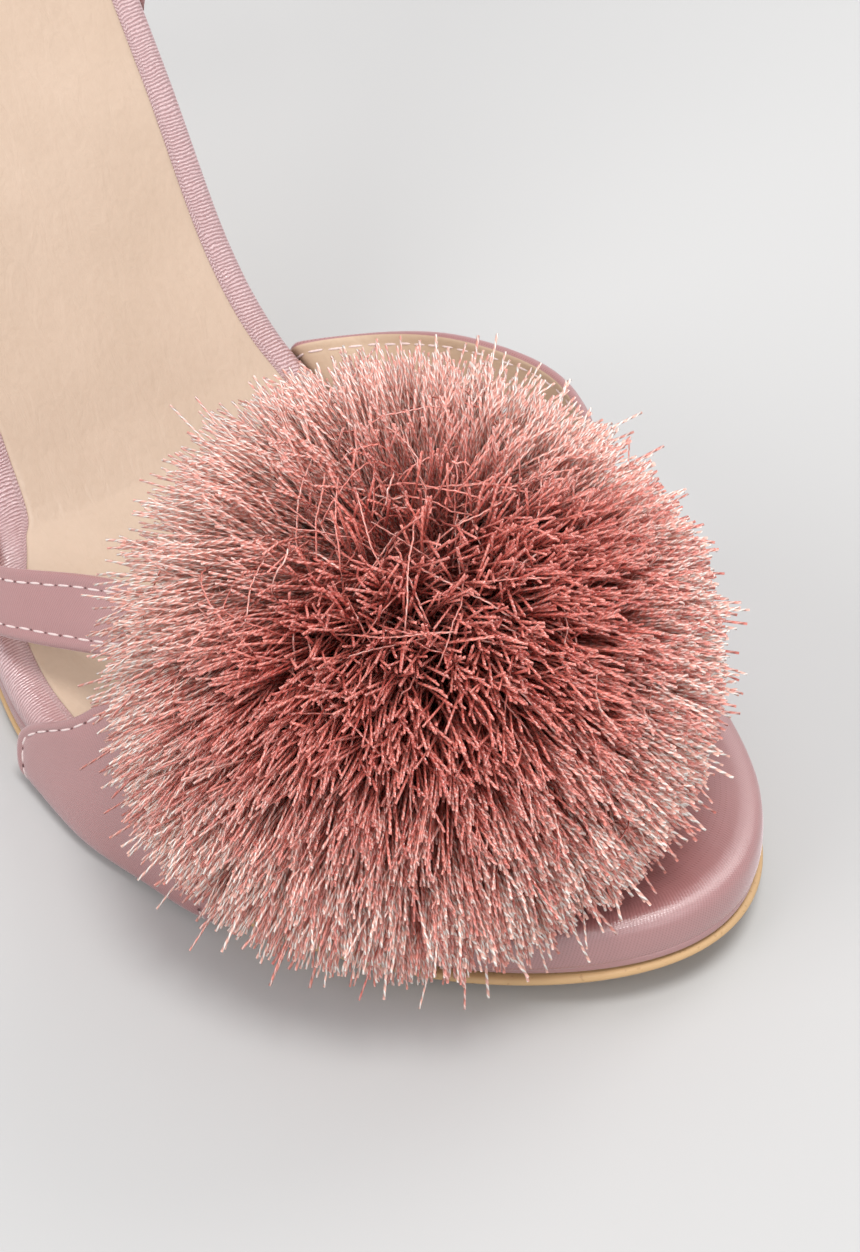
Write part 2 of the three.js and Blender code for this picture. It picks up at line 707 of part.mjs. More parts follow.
// The back loop: a strip up the outside of the counter, folded over the ankle strap
function strapLoop() {
  const back = onAnkle(180, ankleWall + clearance, 0);
  const front = onAnkle(180, -(clearance + 0.7), 0);
  const halfSlot = ankleStrapWidth / 2 + clearance;
  const slot = { low: back.z - halfSlot, high: back.z + halfSlot };
  const onCounter = (share) => {
    const height = share * counterHeight;
    return [counterTop.x - counterWall - counterLean(height) - clearance, counterTop.z + height];
  };
  const outline2d = [];
  for (const share of [0.62, 0.72, 0.82, 0.92, 1]) outline2d.push(onCounter(share));
  const outer = [...outline2d].reverse().map(([x, z]) => [x - loopWall, z]);
  const inner = [
    [front.x, slot.low - 2.2],
    [front.x + loopWall, slot.low],
    [front.x + loopWall, slot.high],
    [front.x + 0.6 * loopWall, slot.high + 0.8 * loopWall],
    [front.x - 0.3 * loopWall, slot.high + loopWall],
    [back.x + 0.3 * loopWall, slot.high + loopWall],
    [back.x - 0.6 * loopWall, slot.high + 0.8 * loopWall],
    [back.x - loopWall, slot.high],
    [back.x - loopWall, slot.low],
  ];
  const profile = [...outline2d, ...inner, ...outer].map(([x, z]) => new THREE.Vector2(x, z));
  const strip = new THREE.ExtrudeGeometry(new THREE.Shape(profile), { depth: loopWidth, bevelEnabled: false });
  strip.rotateX(Math.PI / 2).translate(0, loopWidth / 2, 0);
  const hole = new THREE.BoxGeometry(front.x - back.x, 2 * loopWidth, slot.high - slot.low);
  hole.translate(0.5 * (front.x + back.x), 0, 0.5 * (slot.high + slot.low));
  return fromManifold(toManifold(strip).subtract(toManifold(hole)));
}

// Closed loft through loops of equally many points along +X
function loftLoops(loops) {
  const triangles = [];
  const centre = (loop) => loop.reduce((sum, p) => sum.add(p), new THREE.Vector3()).divideScalar(loop.length);
  const [first, last] = [centre(loops[0]), centre(loops.at(-1))];
  for (let i = 0; i < loops[0].length; i += 1) {
    const j = (i + 1) % loops[0].length;
    for (let k = 0; k + 1 < loops.length; k += 1) {
      triangles.push(...quad(loops[k][i], loops[k][j], loops[k + 1][j], loops[k + 1][i]));
    }
    triangles.push([first, loops[0][j], loops[0][i]]);
    triangles.push([last, loops.at(-1)[i], loops.at(-1)[j]]);
  }
  return geometryFrom(triangles);
}

// The room that the pompom leaves free: the toe band and what is in it, then the insole ahead of it
const roomStations = [-0.5, -0.2, 0.1, 0.25, 0.4, 0.52, 0.62, 0.7, 0.78, 0.88, 0.97, 1.06];
const roomDrop = { from: 0.62, to: 0.78 }; // where it comes down from the band to the insole
const roomGap = 0.6;

function roomUnderPompom() {
  const off = bandWall + 2 * roomGap;
  const loops = roomStations.map((along) => {
    const x = along * toeReach;
    const { half, middle } = outline(Math.min(x, 0.995 * toeReach), 0);
    const toInsole = smooth((along - roomDrop.from) / (roomDrop.to - roomDrop.from));
    const archHeight = (share) => rootLevel + share * (roomHeight(x) + bandWall) + roomGap;
    const flat = Math.min(insoleTop(x) + 2 * roomGap, archHeight(1));
    const over = [...bandRows].reverse().map((r) => {
      const level = archHeight(r.height) + (flat - archHeight(r.height)) * toInsole;
      return new THREE.Vector3(x, middle + r.side * (half + off), treadHeight(x) + level);
    });
    const side = (sign, z) => new THREE.Vector3(x, middle + sign * (half + off + roomGap), z);
    const low = treadHeight(x) + 0.6 * insoleTop(x);
    return [side(-1, -pompomRadius), side(1, -pompomRadius), side(1, low), ...over, side(-1, low)];
  });
  return toManifold(loftLoops(loops));
}

const pompomCore = 0.85; // share of the radius that is packed solid
const lockCount = 84;
const lockSides = 5;
const lockRoot = 0.155; // radius of a lock at its root, as a share of the pompom's
const lockTip = 0.05;
const lockDroop = 0.16;
const pompomFloor = 3.5; // lowest thread above the floor

// The pompom: a ball of thread with drooping locks fused on, laid over the toe band
function pompom(upperRoom) {
  const x = pompomTie.along * toeReach;
  const { half, middle } = outline(x, 0);
  const tieHeight = treadHeight(x) + rootLevel + roomHeight(x) + bandWall - 1;
  const centre = new THREE.Vector3(x, middle + pompomTie.side * half, tieHeight);
  let ball = toManifold(new THREE.IcosahedronGeometry(pompomCore * pompomRadius, 2).translate(...centre));
  const upright = new THREE.Vector3(0, 1, 0);
  const golden = Math.PI * (3 - Math.sqrt(5));
  for (let i = 0; i < lockCount; i += 1) {
    const z = 1 - (2 * (i + 0.5)) / lockCount;
    const level = Math.sqrt(1 - z * z);
    const direction = new THREE.Vector3(level * Math.cos(i * golden), level * Math.sin(i * golden), z);
    const tip = direction.clone().multiplyScalar(pompomRadius * (0.97 + 0.03 * Math.sin(7 * i)));
    const root = direction.clone().multiplyScalar(0.62 * pompomRadius);
    root.z += lockDroop * level * pompomRadius;
    const length = tip.distanceTo(root);
    const [thick, thin] = [lockRoot * pompomRadius, lockTip * pompomRadius];
    const lock = new THREE.CylinderGeometry(thin, thick, length, lockSides, 1);
    lock.translate(0, 0.5 * length, 0);
    const turn = new THREE.Quaternion().setFromUnitVectors(upright, tip.clone().sub(root).normalize());
    ball = ball.add(toManifold(lock.applyQuaternion(turn).translate(...root.add(centre))));
  }
  const floor = new THREE.BoxGeometry(4 * pompomRadius, 4 * pompomRadius, pompomRadius);
  floor.translate(centre.x, centre.y, pompomFloor - 0.5 * pompomRadius);
  const free = ball.subtract(roomUnderPompom()).subtract(upperRoom).subtract(toManifold(floor));
  return fromManifold(mainBody(free));
}

const materials = {
  satin: new THREE.MeshStandardMaterial({ color: 0xc9a3a6, roughness: 0.42, metalness: 0 }),
  leather: new THREE.MeshStandardMaterial({ color: 0xdcc4a4, roughness: 0.6, metalness: 0 }),
  tan: new THREE.MeshStandardMaterial({ color: 0xc79a5c, roughness: 0.55, metalness: 0 }),
  thread: new THREE.MeshStandardMaterial({ color: 0xc07a74, roughness: 0.5, metalness: 0 }),
  metal: new THREE.MeshStandardMaterial({ color: 0xd9c39a, roughness: 0.25, metalness: 1 }),
  lift: new THREE.MeshStandardMaterial({ color: 0x8a6a4a, roughness: 0.5, metalness: 0 }),
};

const sandal = new THREE.Group();

function addPiece(name, geometry, material) {
  const mesh = new THREE.Mesh(geometry, material);
  mesh.name = name;
  sandal.add(mesh);
}

const upperRoom = upperSolid(clearance);
const prongRoom = toManifold(buckleProng(prongWire + clearance));
addPiece('outsole', outsole(), materials.tan);
addPiece('midsole', fromManifold(mainBody(toManifold(midsole()).subtract(upperRoom))), materials.satin);
addPiece('insole', insole(), materials.satin);
addPiece('sock', sock(), materials.leather);
addPiece('upper', fromManifold(upperSolid(0)), materials.satin);
addPiece('counter', counter(), materials.satin);
addPiece('heel', heel(), materials.satin);
addPiece('top_lift', topLift(), materials.lift);
addPiece('ankle_strap', fromManifold(toManifold(ankleStrap()).subtract(prongRoom)), materials.satin);
addPiece('strap_loop', strapLoop(), materials.satin);
addPiece('buckle_frame', buckleFrame(), materials.metal);
addPiece('buckle_prong', buckleProng(prongWire), materials.metal);
addPiece('pompom', pompom(upperRoom), materials.thread);

export default sandal;
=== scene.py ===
# A satin stiletto sandal with a thread pompom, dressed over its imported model.
import math

import bmesh
import bpy
import numpy as np
from mathutils import Matrix


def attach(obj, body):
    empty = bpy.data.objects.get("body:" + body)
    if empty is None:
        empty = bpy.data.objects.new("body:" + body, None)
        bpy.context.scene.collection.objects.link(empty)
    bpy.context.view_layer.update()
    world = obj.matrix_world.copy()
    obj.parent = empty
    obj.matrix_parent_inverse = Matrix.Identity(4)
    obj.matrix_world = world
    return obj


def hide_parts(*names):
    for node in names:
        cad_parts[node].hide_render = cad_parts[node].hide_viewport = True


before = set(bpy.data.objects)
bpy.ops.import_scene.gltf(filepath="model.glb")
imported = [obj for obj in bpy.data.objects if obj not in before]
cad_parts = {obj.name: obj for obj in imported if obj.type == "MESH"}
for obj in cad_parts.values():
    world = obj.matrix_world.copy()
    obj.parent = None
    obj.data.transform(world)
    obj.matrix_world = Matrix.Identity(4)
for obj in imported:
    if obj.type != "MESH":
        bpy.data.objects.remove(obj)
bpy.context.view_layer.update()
mm = 0.001
print("sandal: the packed model is in place")

photoCamera = {
    "azimuth": 56.54, "elevation": 42.63, "roll": 0.466,  # degrees
    "distance": 622.2, "target": (18.616, 12.861, 9.236),  # mm
    "lens": 136.98, "sensor": 36,  # mm, the sensor along the long side
}


def placeObject(name, data):
    thing = bpy.data.objects.new(name, data)
    bpy.context.scene.collection.objects.link(thing)
    return thing


def aimObject(thing, axes, place):
    # its own x, y and z axes become the given ones, at the given place in metres
    rows = [[*(axis[i] for axis in axes), place[i]] for i in range(3)]
    thing.matrix_world = Matrix([*rows, [0, 0, 0, 1]])


def makeCamera(s):
    # looks at the target from the given azimuth and elevation, then rolls about its own axis
    a, e, r = (math.radians(s[key]) for key in ("azimuth", "elevation", "roll"))
    back = np.array([math.sin(a) * math.cos(e), -math.cos(a) * math.cos(e), math.sin(e)])
    right = np.array([math.cos(a), math.sin(a), 0])
    up = np.cross(back, right)
    turned = [right * math.cos(r) + up * math.sin(r), up * math.cos(r) - right * math.sin(r), back]
    data = bpy.data.cameras.new("photoCamera")
    data.lens = s["lens"]
    data.sensor_width = s["sensor"]
    camera = placeObject("photoCamera", data)
    aimObject(camera, turned, (np.array(s["target"]) + s["distance"] * back) * mm)
    bpy.context.scene.camera = camera


makeCamera(photoCamera)

# Sizes of the last and of the layers on it, in mm, as the maker cuts them
last = {
    "ballWidth": 78, "toeReach": 83, "heelReach": 140, "seatHeight": 92, "toeSpring": 5,
    "instepHeight": 37, "toeRoomHeight": 24, "gap": 0.3,
    "outsoleThick": 2.2, "insoleThick": 4.2, "insoleLip": 0.5,
    "sockThick": 0.8, "sockInset": 4.5, "sockFront": 30, "bedDepth": 0.8,
    "bandWall": 1.4, "tuck": 6, "skived": 0.8,
    "toeShift": 0.118, "toeRound": 1.97, "heelRound": 2.25, "breast": -0.715,
    # outline: along the foot, half width, middle; shares of the reach and of the ball width
    "outline": [
        (-0.843, 0.618, 0.002), (-0.68, 0.58, -0.003), (-0.5, 0.549, -0.01), (-0.345, 0.582, -0.032),
        (-0.215, 0.66, -0.012), (-0.136, 0.79, -0.004), (-0.057, 0.945, 0), (0.06, 1, 0), (0.155, 1.004, 0),
    ],
    # underside: along the foot, rise as a share of the seat's height or of the toe spring
    "rise": [
        (-1, 1), (-0.86, 0.875), (-0.72, 0.73), (-0.6, 0.585), (-0.49, 0.42), (-0.36, 0.205), (-0.26, 0.075),
        (-0.18, 0.015), (-0.11, 0), (0.28, 0), (0.6, 0.18), (0.8, 0.48), (1, 1),
    ],
    # midsole: along the foot, thickness in mm
    "midsole": [(-1, 4), (-0.72, 5.5), (-0.5, 7), (-0.33, 6.51), (-0.2, 4.18), (0, 2.3), (1, 2.3)],
}


def stationX(along):
    return along * (last["heelReach"] if along < 0 else last["toeReach"])


def curveThrough(points):
    # monotone cubic: each tangent is the harmonic mean of the slopes beside it, straight past both ends
    xs, ys = np.array(points, float).T
    slopes = np.diff(ys) / np.diff(xs)
    before, after = slopes[:-1], slopes[1:]
    same = before * after > 0
    inner = np.where(same, 2 * before * after / np.where(same, before + after, 1), 0)
    tangents = np.concatenate([slopes[:1], inner, slopes[-1:]])

    def curve(x):
        x = np.asarray(x, float)
        i = np.clip(np.searchsorted(xs, x, side="right") - 1, 0, len(xs) - 2)
        span = xs[i + 1] - xs[i]
        t = np.clip((x - xs[i]) / span, 0, 1)
        rise = (ys[i + 1] - ys[i]) * (3 - 2 * t) * t * t
        bend = (tangents[i] * (1 - t) - tangents[i + 1] * t) * t * (1 - t) * span
        past = tangents[0] * np.minimum(x - xs[0], 0) + tangents[-1] * np.maximum(x - xs[-1], 0)
        return ys[i] + rise + bend + past

    return curve


def smooth(t):
    # cubic step from 0 to 1
    t = np.clip(t, 0, 1)
    return t * t * (3 - 2 * t)


def fade(values, span):
    # 0 up to the first number of the span, then a soft rise to 1 over the second
    return smooth((values - span[0]) / span[1])


tread = curveThrough([
    (stationX(a), rise * (last["seatHeight"] if a < 0 else last["toeSpring"])) for a, rise in last["rise"]
])
midsoleThick = curveThrough([(stationX(a), thick) for a, thick in last["midsole"]])
halfCurve = curveThrough([(stationX(a), half * last["ballWidth"] / 2) for a, half, _ in last["outline"]])
middleCurve = curveThrough([(stationX(a), middle * last["ballWidth"]) for a, _, middle in last["outline"]])
heelStart = stationX(last["outline"][0][0])
toeStart = stationX(last["outline"][-1][0])
breastX = stationX(last["breast"])


def outlineAt(x, spread=0.0, toeEnd=None):
    # half width and middle: the tables between the two ends, superellipses past them
    toeEnd = last["toeReach"] if toeEnd is None else toeEnd
    inside = np.clip(x, heelStart, toeStart)
    toe = np.clip((x - toeStart) / (toeEnd + spread - toeStart), 0, 1)
    heel = np.clip((heelStart - x) / (last["heelReach"] + spread + heelStart), 0, 1)
    toeFactor = (1 - toe ** last["toeRound"]) ** (1 / last["toeRound"])
    heelFactor = (1 - heel ** last["heelRound"]) ** (1 / last["heelRound"])
    ahead = np.clip((x - toeStart) / (last["toeReach"] - toeStart), 0, None)
    shift = last["toeShift"] * last["ballWidth"] * ahead ** 1.5
    return (halfCurve(inside) + spread) * toeFactor * heelFactor, middleCurve(inside) + shift


def onSole(x, y, level):
    # a point over the tread line, level millimetres square to the sole
    x, y, level = np.broadcast_arrays(np.asarray(x, float), y, level)
    tilt = np.arctan((tread(x + 1) - tread(x - 1)) / 2)
    return np.stack([x - np.sin(tilt) * level, y, tread(x) + np.cos(tilt) * level], axis=-1)


def insoleBase(x):
    return last["outsoleThick"] + 2 * last["gap"] + midsoleThick(x)


def insoleTop(x):
    return insoleBase(x) + last["insoleThick"]


def splineRows(controls, steps):
    # centripetal Catmull-Rom through controls along the first axis, at even parameters
    controls = np.asarray(controls, float)
    t = np.linspace(0, len(controls) - 1, steps + 1)
    i = np.minimum(t.astype(int), len(controls) - 2)
    w = (t - i).reshape(-1, *([1] * (controls.ndim - 1)))
    ends = np.concatenate([[2 * controls[0] - controls[1]], controls, [2 * controls[-1] - controls[-2]]])
    p0, p1, p2, p3 = (ends[i + k] for k in range(4))
    d0, d1, d2 = (
        np.maximum(np.linalg.norm(b - a, axis=-1, keepdims=True), 1e-6) ** 0.5
        for a, b in ((p0, p1), (p1, p2), (p2, p3))
    )
    t1 = ((p1 - p0) / d0 - (p2 - p0) / (d0 + d1) + (p2 - p1) / d1) * d1
    t2 = ((p2 - p1) / d1 - (p3 - p1) / (d1 + d2) + (p3 - p2) / d2) * d1
    return p1 + t1 * w + (3 * (p2 - p1) - 2 * t1 - t2) * w**2 + (2 * (p1 - p2) + t1 + t2) * w**3


def unit(v):
    return v / np.maximum(np.linalg.norm(v, axis=-1, keepdims=True), 1e-9)


def gridNormals(points):
    # cross product of the differences along the two directions of a grid
    return unit(np.cross(np.gradient(points, axis=0), np.gradient(points, axis=1)))


def arcLength(points):
    # length along the first axis, measured on the mean of the others
    line = points.reshape(len(points), -1, 3).mean(1)
    return np.concatenate([[0], np.cumsum(np.linalg.norm(np.diff(line, axis=0), axis=-1))])


def meshFrom(name, points, loops, totals, uvs, attributes, materials, finish=None):
    # points in mm, the corners of all faces in one row, each face's count of corners, values at the points
    mesh = bpy.data.meshes.new(name)
    mesh.vertices.add(len(points))
    mesh.vertices.foreach_set("co", (points * mm).astype(np.float32).reshape(-1))
    mesh.loops.add(len(loops))
    mesh.loops.foreach_set("vertex_index", loops.astype(np.int32))
    mesh.polygons.add(len(totals))
    starts = np.concatenate([[0], np.cumsum(totals)[:-1]])
    mesh.polygons.foreach_set("loop_start", starts.astype(np.int32))
    mesh.polygons.foreach_set("loop_total", totals.astype(np.int32))
    mesh.update(calc_edges=True)
    if finish is not None:
        mesh.polygons.foreach_set("material_index", finish.astype(np.int32))
    mesh.polygons.foreach_set("use_smooth", np.ones(len(totals), bool))
    mesh.uv_layers.new(name="cloth").data.foreach_set("uv", uvs.astype(np.float32).reshape(-1))
    for key, values in attributes.items():
        layer = mesh.attributes.new(key, "FLOAT", "POINT")
        layer.data.foreach_set("value", values.astype(np.float32))
    for material in materials:
        mesh.materials.append(material)
    return mesh


def joined(*lists):
    return (np.concatenate(part) for part in lists)


def makePiece(name, grids, materials):
    # joins grids of points in mm into one mesh: equal corners are welded, empty faces are dropped
    points, uvs, corners, finish, marks = [], [], [], [], []
    offset = 0
    for grid in grids:
        p = np.asarray(grid["points"], float)
        n, m = p.shape[:2]
        index = np.arange(n * m).reshape(n, m) + offset
        quads = np.stack([index[:-1, :-1], index[1:, :-1], index[1:, 1:], index[:-1, 1:]], axis=-1)
        corners.append(quads.reshape(-1, 4))
        points.append(p.reshape(-1, 3))
        uvs.append(np.broadcast_to(grid.get("uv", 0.0), (n, m, 2)).reshape(-1, 2))
        finish.append(np.broadcast_to(grid.get("finish", 0), (n - 1, m - 1)).reshape(-1))
        marks.append(np.broadcast_to(grid.get("mark", 0.0), (n, m)).reshape(-1))
        offset += n * m
    points, uvs, corners, finish, marks = joined(points, uvs, corners, finish, marks)
    spots = np.round(points * 1e4).astype(np.int64)
    _, first, where = np.unique(spots, axis=0, return_index=True, return_inverse=True)
    welded = where.reshape(-1)[corners]
    double = welded == np.roll(welded, -1, axis=1)
    whole, three = double.sum(1) == 0, double.sum(1) == 1
    keep = ~double[three]
    loops = np.concatenate([welded[whole].reshape(-1), welded[three][keep]])
    loopCorners = np.concatenate([corners[whole].reshape(-1), corners[three][keep]])
    totals = np.concatenate([np.full(whole.sum(), 4), np.full(three.sum(), 3)])
    finish = np.concatenate([finish[whole], finish[three]])
    marks = {"mark": marks[first]}
    mesh = meshFrom(name, points[first], loops, totals, uvs[loopCorners], marks, materials, finish)
    shell = bmesh.new()  # turns the faces outward
    shell.from_mesh(mesh)
    bmesh.ops.recalc_face_normals(shell, faces=shell.faces)
    shell.to_mesh(mesh)
    shell.free()
    return placeObject(name, mesh)


def dress(piece, node):
    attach(piece, "root")
    if node:
        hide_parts(node)
    return piece


# Node helpers for the finishes


def newMaterial(name, **sockets):
    material = bpy.data.materials.new(name)
    material.use_nodes = True
    shader = material.node_tree.nodes["Principled BSDF"]
    for socket, value in sockets.items():
        shader.inputs[socket.replace("_", " ")].default_value = value
    return material, material.node_tree, shader


def addNode(tree, kind, inputs=None, **settings):
    node = tree.nodes.new(kind)
    for key, value in settings.items():
        setattr(node, key, value)
    for key, value in (inputs or {}).items():
        socket = node.inputs[key]
        if isinstance(value, bpy.types.NodeSocket):
            tree.links.new(value, socket)
        else:
            socket.default_value = value
    return node


def math2(tree, operation, a, b=0.0, clamp=False):
    return addNode(tree, "ShaderNodeMath", {0: a, 1: b}, operation=operation, use_clamp=clamp).outputs[0]


def plus(tree, a, b, clamp=False):
    return math2(tree, "ADD", a, b, clamp)


def times(tree, a, b, clamp=False):
    return math2(tree, "MULTIPLY", a, b, clamp)


def weighted(tree, a, shareA, b, shareB, clamp=False):
    # a times its share plus b times its share
    return plus(tree, times(tree, a, shareA), times(tree, b, shareB), clamp)


def wave(tree, turns):
    # sine of a number of full turns
    return math2(tree, "SINE", times(tree, turns, 2 * math.pi))


def mixColours(tree, factor, a, b):
    return addNode(tree, "ShaderNodeMix", {0: factor, 6: a, 7: b}, data_type="RGBA").outputs[2]


def bumpFrom(tree, height, strength, distance):
    inputs = {"Height": height, "Strength": strength, "Distance": distance}
    return addNode(tree, "ShaderNodeBump", inputs).outputs[0]


def noiseAt(tree, place, scale, detail, **more):
    inputs = {"Vector": place, "Scale": scale, "Detail": detail, **more}
    return addNode(tree, "ShaderNodeTexNoise", inputs).outputs[0]


def objectPlace(tree):
    return addNode(tree, "ShaderNodeTexCoord").outputs["Object"]


def feed(tree, shader, **sockets):
    # links each value to the shader's socket of that name
    for socket, value in sockets.items():
        tree.links.new(value, shader.inputs[socket.replace("_", " ")])


def newGroup(name, vector, numbers, results):
    # a node group that takes one vector and some numbers and gives numbers
    group = bpy.data.node_groups.new(name, "ShaderNodeTree")
    group.interface.new_socket(vector, in_out="INPUT", socket_type="NodeSocketVector")
    for key, value in numbers.items():
        group.interface.new_socket(key, in_out="INPUT", socket_type="NodeSocketFloat").default_value = value
    for key in results:
        group.interface.new_socket(key, in_out="OUTPUT", socket_type="NodeSocketFloat")
    return group, addNode(group, "NodeGroupInput").outputs


weaveLook = {
    "pitch": 0.42, "slant": 0.55, "pleatPitch": 0.5,  # mm between floats and between gathers
    "cloudScale": 0.12, "fineScale": 2.2, "bend": (2.0, 0.35),
    "floatHeight": 0.5, "pleatHeight": 1.0, "cloudHeight": 2.4,
}


def satinWeaveGroup(s):
    # cloth coordinates in mm give fine slanting floats, a slow cloudy tone across the cloth that is partly
    # painted sheen, painted shade for the valleys of the gathers and a height
    group, given = newGroup("satinWeave", "Cloth", {"Pitch": s["pitch"], "Slant": s["slant"], "Gathers": 0.0},
                            ("Floats", "CloudSheen", "ValleyShade", "Height"))
    split = addNode(group, "ShaderNodeSeparateXYZ", {0: given["Cloth"]}).outputs
    slant = plus(group, split[0], times(group, split[1], given["Slant"]))
    across = wave(group, math2(group, "DIVIDE", slant, given["Pitch"]))
    along = wave(group, math2(group, "DIVIDE", split[1], given["Pitch"]))
    floats = times(group, plus(group, times(group, across, along), 1), 0.5)
    cloudy = noiseAt(group, given["Cloth"], s["cloudScale"], 3.0)
    fine = noiseAt(group, given["Cloth"], s["fineScale"], 2.0)
    bent = plus(group, split[0], weighted(group, cloudy, s["bend"][0], fine, s["bend"][1]))
    pleat = wave(group, times(group, bent, 1 / s["pleatPitch"]))
    pleats = times(group, plus(group, pleat, fine), given["Gathers"])
    height = weighted(group, floats, s["floatHeight"], pleats, s["pleatHeight"])
    # mask of painted shade in the valleys of the gathers
    shadeInValleys = times(group, math2(group, "SUBTRACT", 1.0, pleat), given["Gathers"])
    addNode(group, "NodeGroupOutput", {
        "Floats": floats, "CloudSheen": weighted(group, cloudy, 0.5, fine, 0.5),
        "ValleyShade": times(group, shadeInValleys, 0.5),
        "Height": plus(group, height, times(group, cloudy, s["cloudHeight"])),
    })
    return group


def leatherGrainGroup():
    # shallow cells and long soft wrinkles for lining leather
    group, given = newGroup("leatherGrain", "Place", {"Cells": 900}, ("Grain", "Wrinkles", "Mottle"))
    place = given["Place"]
    cells = addNode(group, "ShaderNodeTexVoronoi", {"Vector": place, "Scale": given["Cells"]})
    stretched = addNode(group, "ShaderNodeMapping", {"Vector": place, "Scale": (0.35, 1.0, 0.5)}).outputs[0]
    addNode(group, "NodeGroupOutput", {
        "Grain": weighted(group, cells.outputs["Distance"], 0.6, noiseAt(group, place, 1400.0, 3.0), 1.0),
        "Wrinkles": noiseAt(group, stretched, 420.0, 4.0, Distortion=1.2),
        "Mottle": noiseAt(group, place, 60.0, 5.0),
    })
    return group


weave = satinWeaveGroup(weaveLook)
grain = leatherGrainGroup()

satinLook = {
    "deep": (0.255, 0.094, 0.093, 1), "light": (0.425, 0.183, 0.182, 1), "rough": 0.32,
    # valley and ridge colours are painted shade and painted highlight on the gathers, gathered is their
    # strength
    "valleyShadeColour": (0.27, 0.125, 0.13, 1), "ridgeHighlightColour": (0.8, 0.58, 0.6, 1), "gathered": 0.5,
    "floatShade": 0.52, "sheenCloudShare": 0.48, "relief": 0.00012,
}


def satinFinish(name, gathers=False):
    # floats and clouds mix the two colours, the clouds partly as painted sheen; where it is gathered the
    # valleys get painted shade and the ridges a painted highlight
    s = satinLook
    material, tree, shader = newMaterial(
        name, Roughness=s["rough"], Sheen_Weight=0.55, Sheen_Roughness=0.32, IOR=1.85, Specular_IOR_Level=0.9,
        Sheen_Tint=(1, 0.9, 0.94, 1), Anisotropic=0.5, Coat_Weight=0.06, Coat_Roughness=0.3,
    )
    cloth = addNode(tree, "ShaderNodeUVMap", uv_map="cloth").outputs[0]
    given = {"Cloth": cloth}
    if gathers:
        mark = addNode(tree, "ShaderNodeAttribute", attribute_name="mark").outputs["Fac"]
        given["Gathers"] = mark
    woven = addNode(tree, "ShaderNodeGroup", given, node_tree=weave).outputs
    # the cloudy share of the colour is partly the cloth's own tone and partly painted sheen
    shade = weighted(tree, woven["Floats"], s["floatShade"], woven["CloudSheen"], s["sheenCloudShare"], clamp=True)
    ground = mixColours(tree, shade, s["deep"], s["light"])
    if gathers:
        # painted shade in the gathers' valleys and a painted highlight on their ridges
        dark = times(tree, woven["ValleyShade"], s["gathered"])
        paintedRidgeLight = times(tree, math2(tree, "SUBTRACT", mark, woven["ValleyShade"], clamp=True), s["gathered"])
        ground = mixColours(tree, paintedRidgeLight, mixColours(tree, dark, ground, s["valleyShadeColour"]), s["ridgeHighlightColour"])
    rough = plus(tree, times(tree, woven["Floats"], 0.1), s["rough"] - 0.05)
    relief = bumpFrom(tree, woven["Height"], 0.5, s["relief"])
    feed(tree, shader, Base_Color=ground, Roughness=rough, Normal=relief)
    return material


def leatherFinish(name, deep, light, cells, rough, wrinkle):
    # cloudy colour between two tones, relief and dullness from the grain and its wrinkles
    material, tree, shader = newMaterial(name, Specular_IOR_Level=0.4, Coat_Weight=0.06, Coat_Roughness=0.35)
    given = {"Place": objectPlace(tree), "Cells": cells}
    skin = addNode(tree, "ShaderNodeGroup", given, node_tree=grain).outputs
    shade = weighted(tree, skin["Mottle"], 0.8, skin["Grain"], 0.2, clamp=True)
    height = weighted(tree, skin["Grain"], 0.25, skin["Wrinkles"], wrinkle)
    feed(tree, shader, Base_Color=mixColours(tree, shade, deep, light),
         Roughness=plus(tree, times(tree, skin["Wrinkles"], 0.2), rough - 0.1),
         Normal=bumpFrom(tree, height, 0.5, 0.00025))
    return material


satin = satinFinish("satinCloth")
gatheredSatin = satinFinish("gatheredSatin", gathers=True)
sockLeather = leatherFinish("sockLeather", (0.45, 0.326, 0.236, 1), (0.58, 0.44, 0.34, 1), 900, 0.46, 1.3)
liningLeather = leatherFinish("liningLeather", (0.46, 0.32, 0.215, 1), (0.6, 0.45, 0.33, 1), 1300, 0.55, 1.2)


def mottledFinish(name, dark, light, scale, detail, strength, distance, **sockets):
    # one noise mixes the two colours and gives the relief
    material, tree, shader = newMaterial(name, **sockets)
    noise = noiseAt(tree, objectPlace(tree), scale, detail)
    feed(tree, shader, Base_Color=mixColours(tree, noise, dark, light),
         Normal=bumpFrom(tree, noise, strength, distance))
    return material


def tanFinish():
    # resin sole sheet: small dark specks in a warm tan, dull polish on the trimmed edge
    material, tree, shader = newMaterial("tanSole", Roughness=0.5, Specular_IOR_Level=0.35)
    place = objectPlace(tree)
    dots = math2(tree, "GREATER_THAN", noiseAt(tree, place, 1500.0, 1.0), 0.68)
    mottle = noiseAt(tree, place, 160.0, 4.0)
    ground = mixColours(tree, mottle, (0.48, 0.3, 0.145, 1), (0.6, 0.395, 0.205, 1))
    ground = mixColours(tree, times(tree, dots, 0.3), ground, (0.27, 0.13, 0.05, 1))
    feed(tree, shader, Base_Color=ground, Normal=bumpFrom(tree, mottle, 0.3, 0.0002))
    return material


tanSole = tanFinish()

# Layers of the sole


def stationRow(spread, toeEnd=None, start=None):
    # stations from heel to toe, eased towards both tips
    toeEnd = last["toeReach"] if toeEnd is None else toeEnd
    count = {"heel": 22, "waist": 110, "toe": 44}
    heel = heelStart - (last["heelReach"] + spread + heelStart) * np.sin(
        np.linspace(1, 0, count["heel"], endpoint=False) * math.pi / 2)
    waist = np.linspace(heelStart, toeStart, count["waist"], endpoint=False)
    toe = toeStart + (toeEnd + spread - toeStart) * np.sin(np.linspace(0, 1, count["toe"] + 1) * math.pi / 2)
    row = np.concatenate([heel, waist, toe])
    return row if start is None else np.maximum(row, start)


def soleRing(spread, level, toeEnd=None, start=None):
    # both edges of one level of a layer, right edge first
    x = stationRow(spread, toeEnd, start)
    half, middle = outlineAt(x, spread, toeEnd)
    height = level(x) if callable(level) else np.full_like(x, level)
    return onSole(x, middle - half, height), onSole(x, middle + half, height)


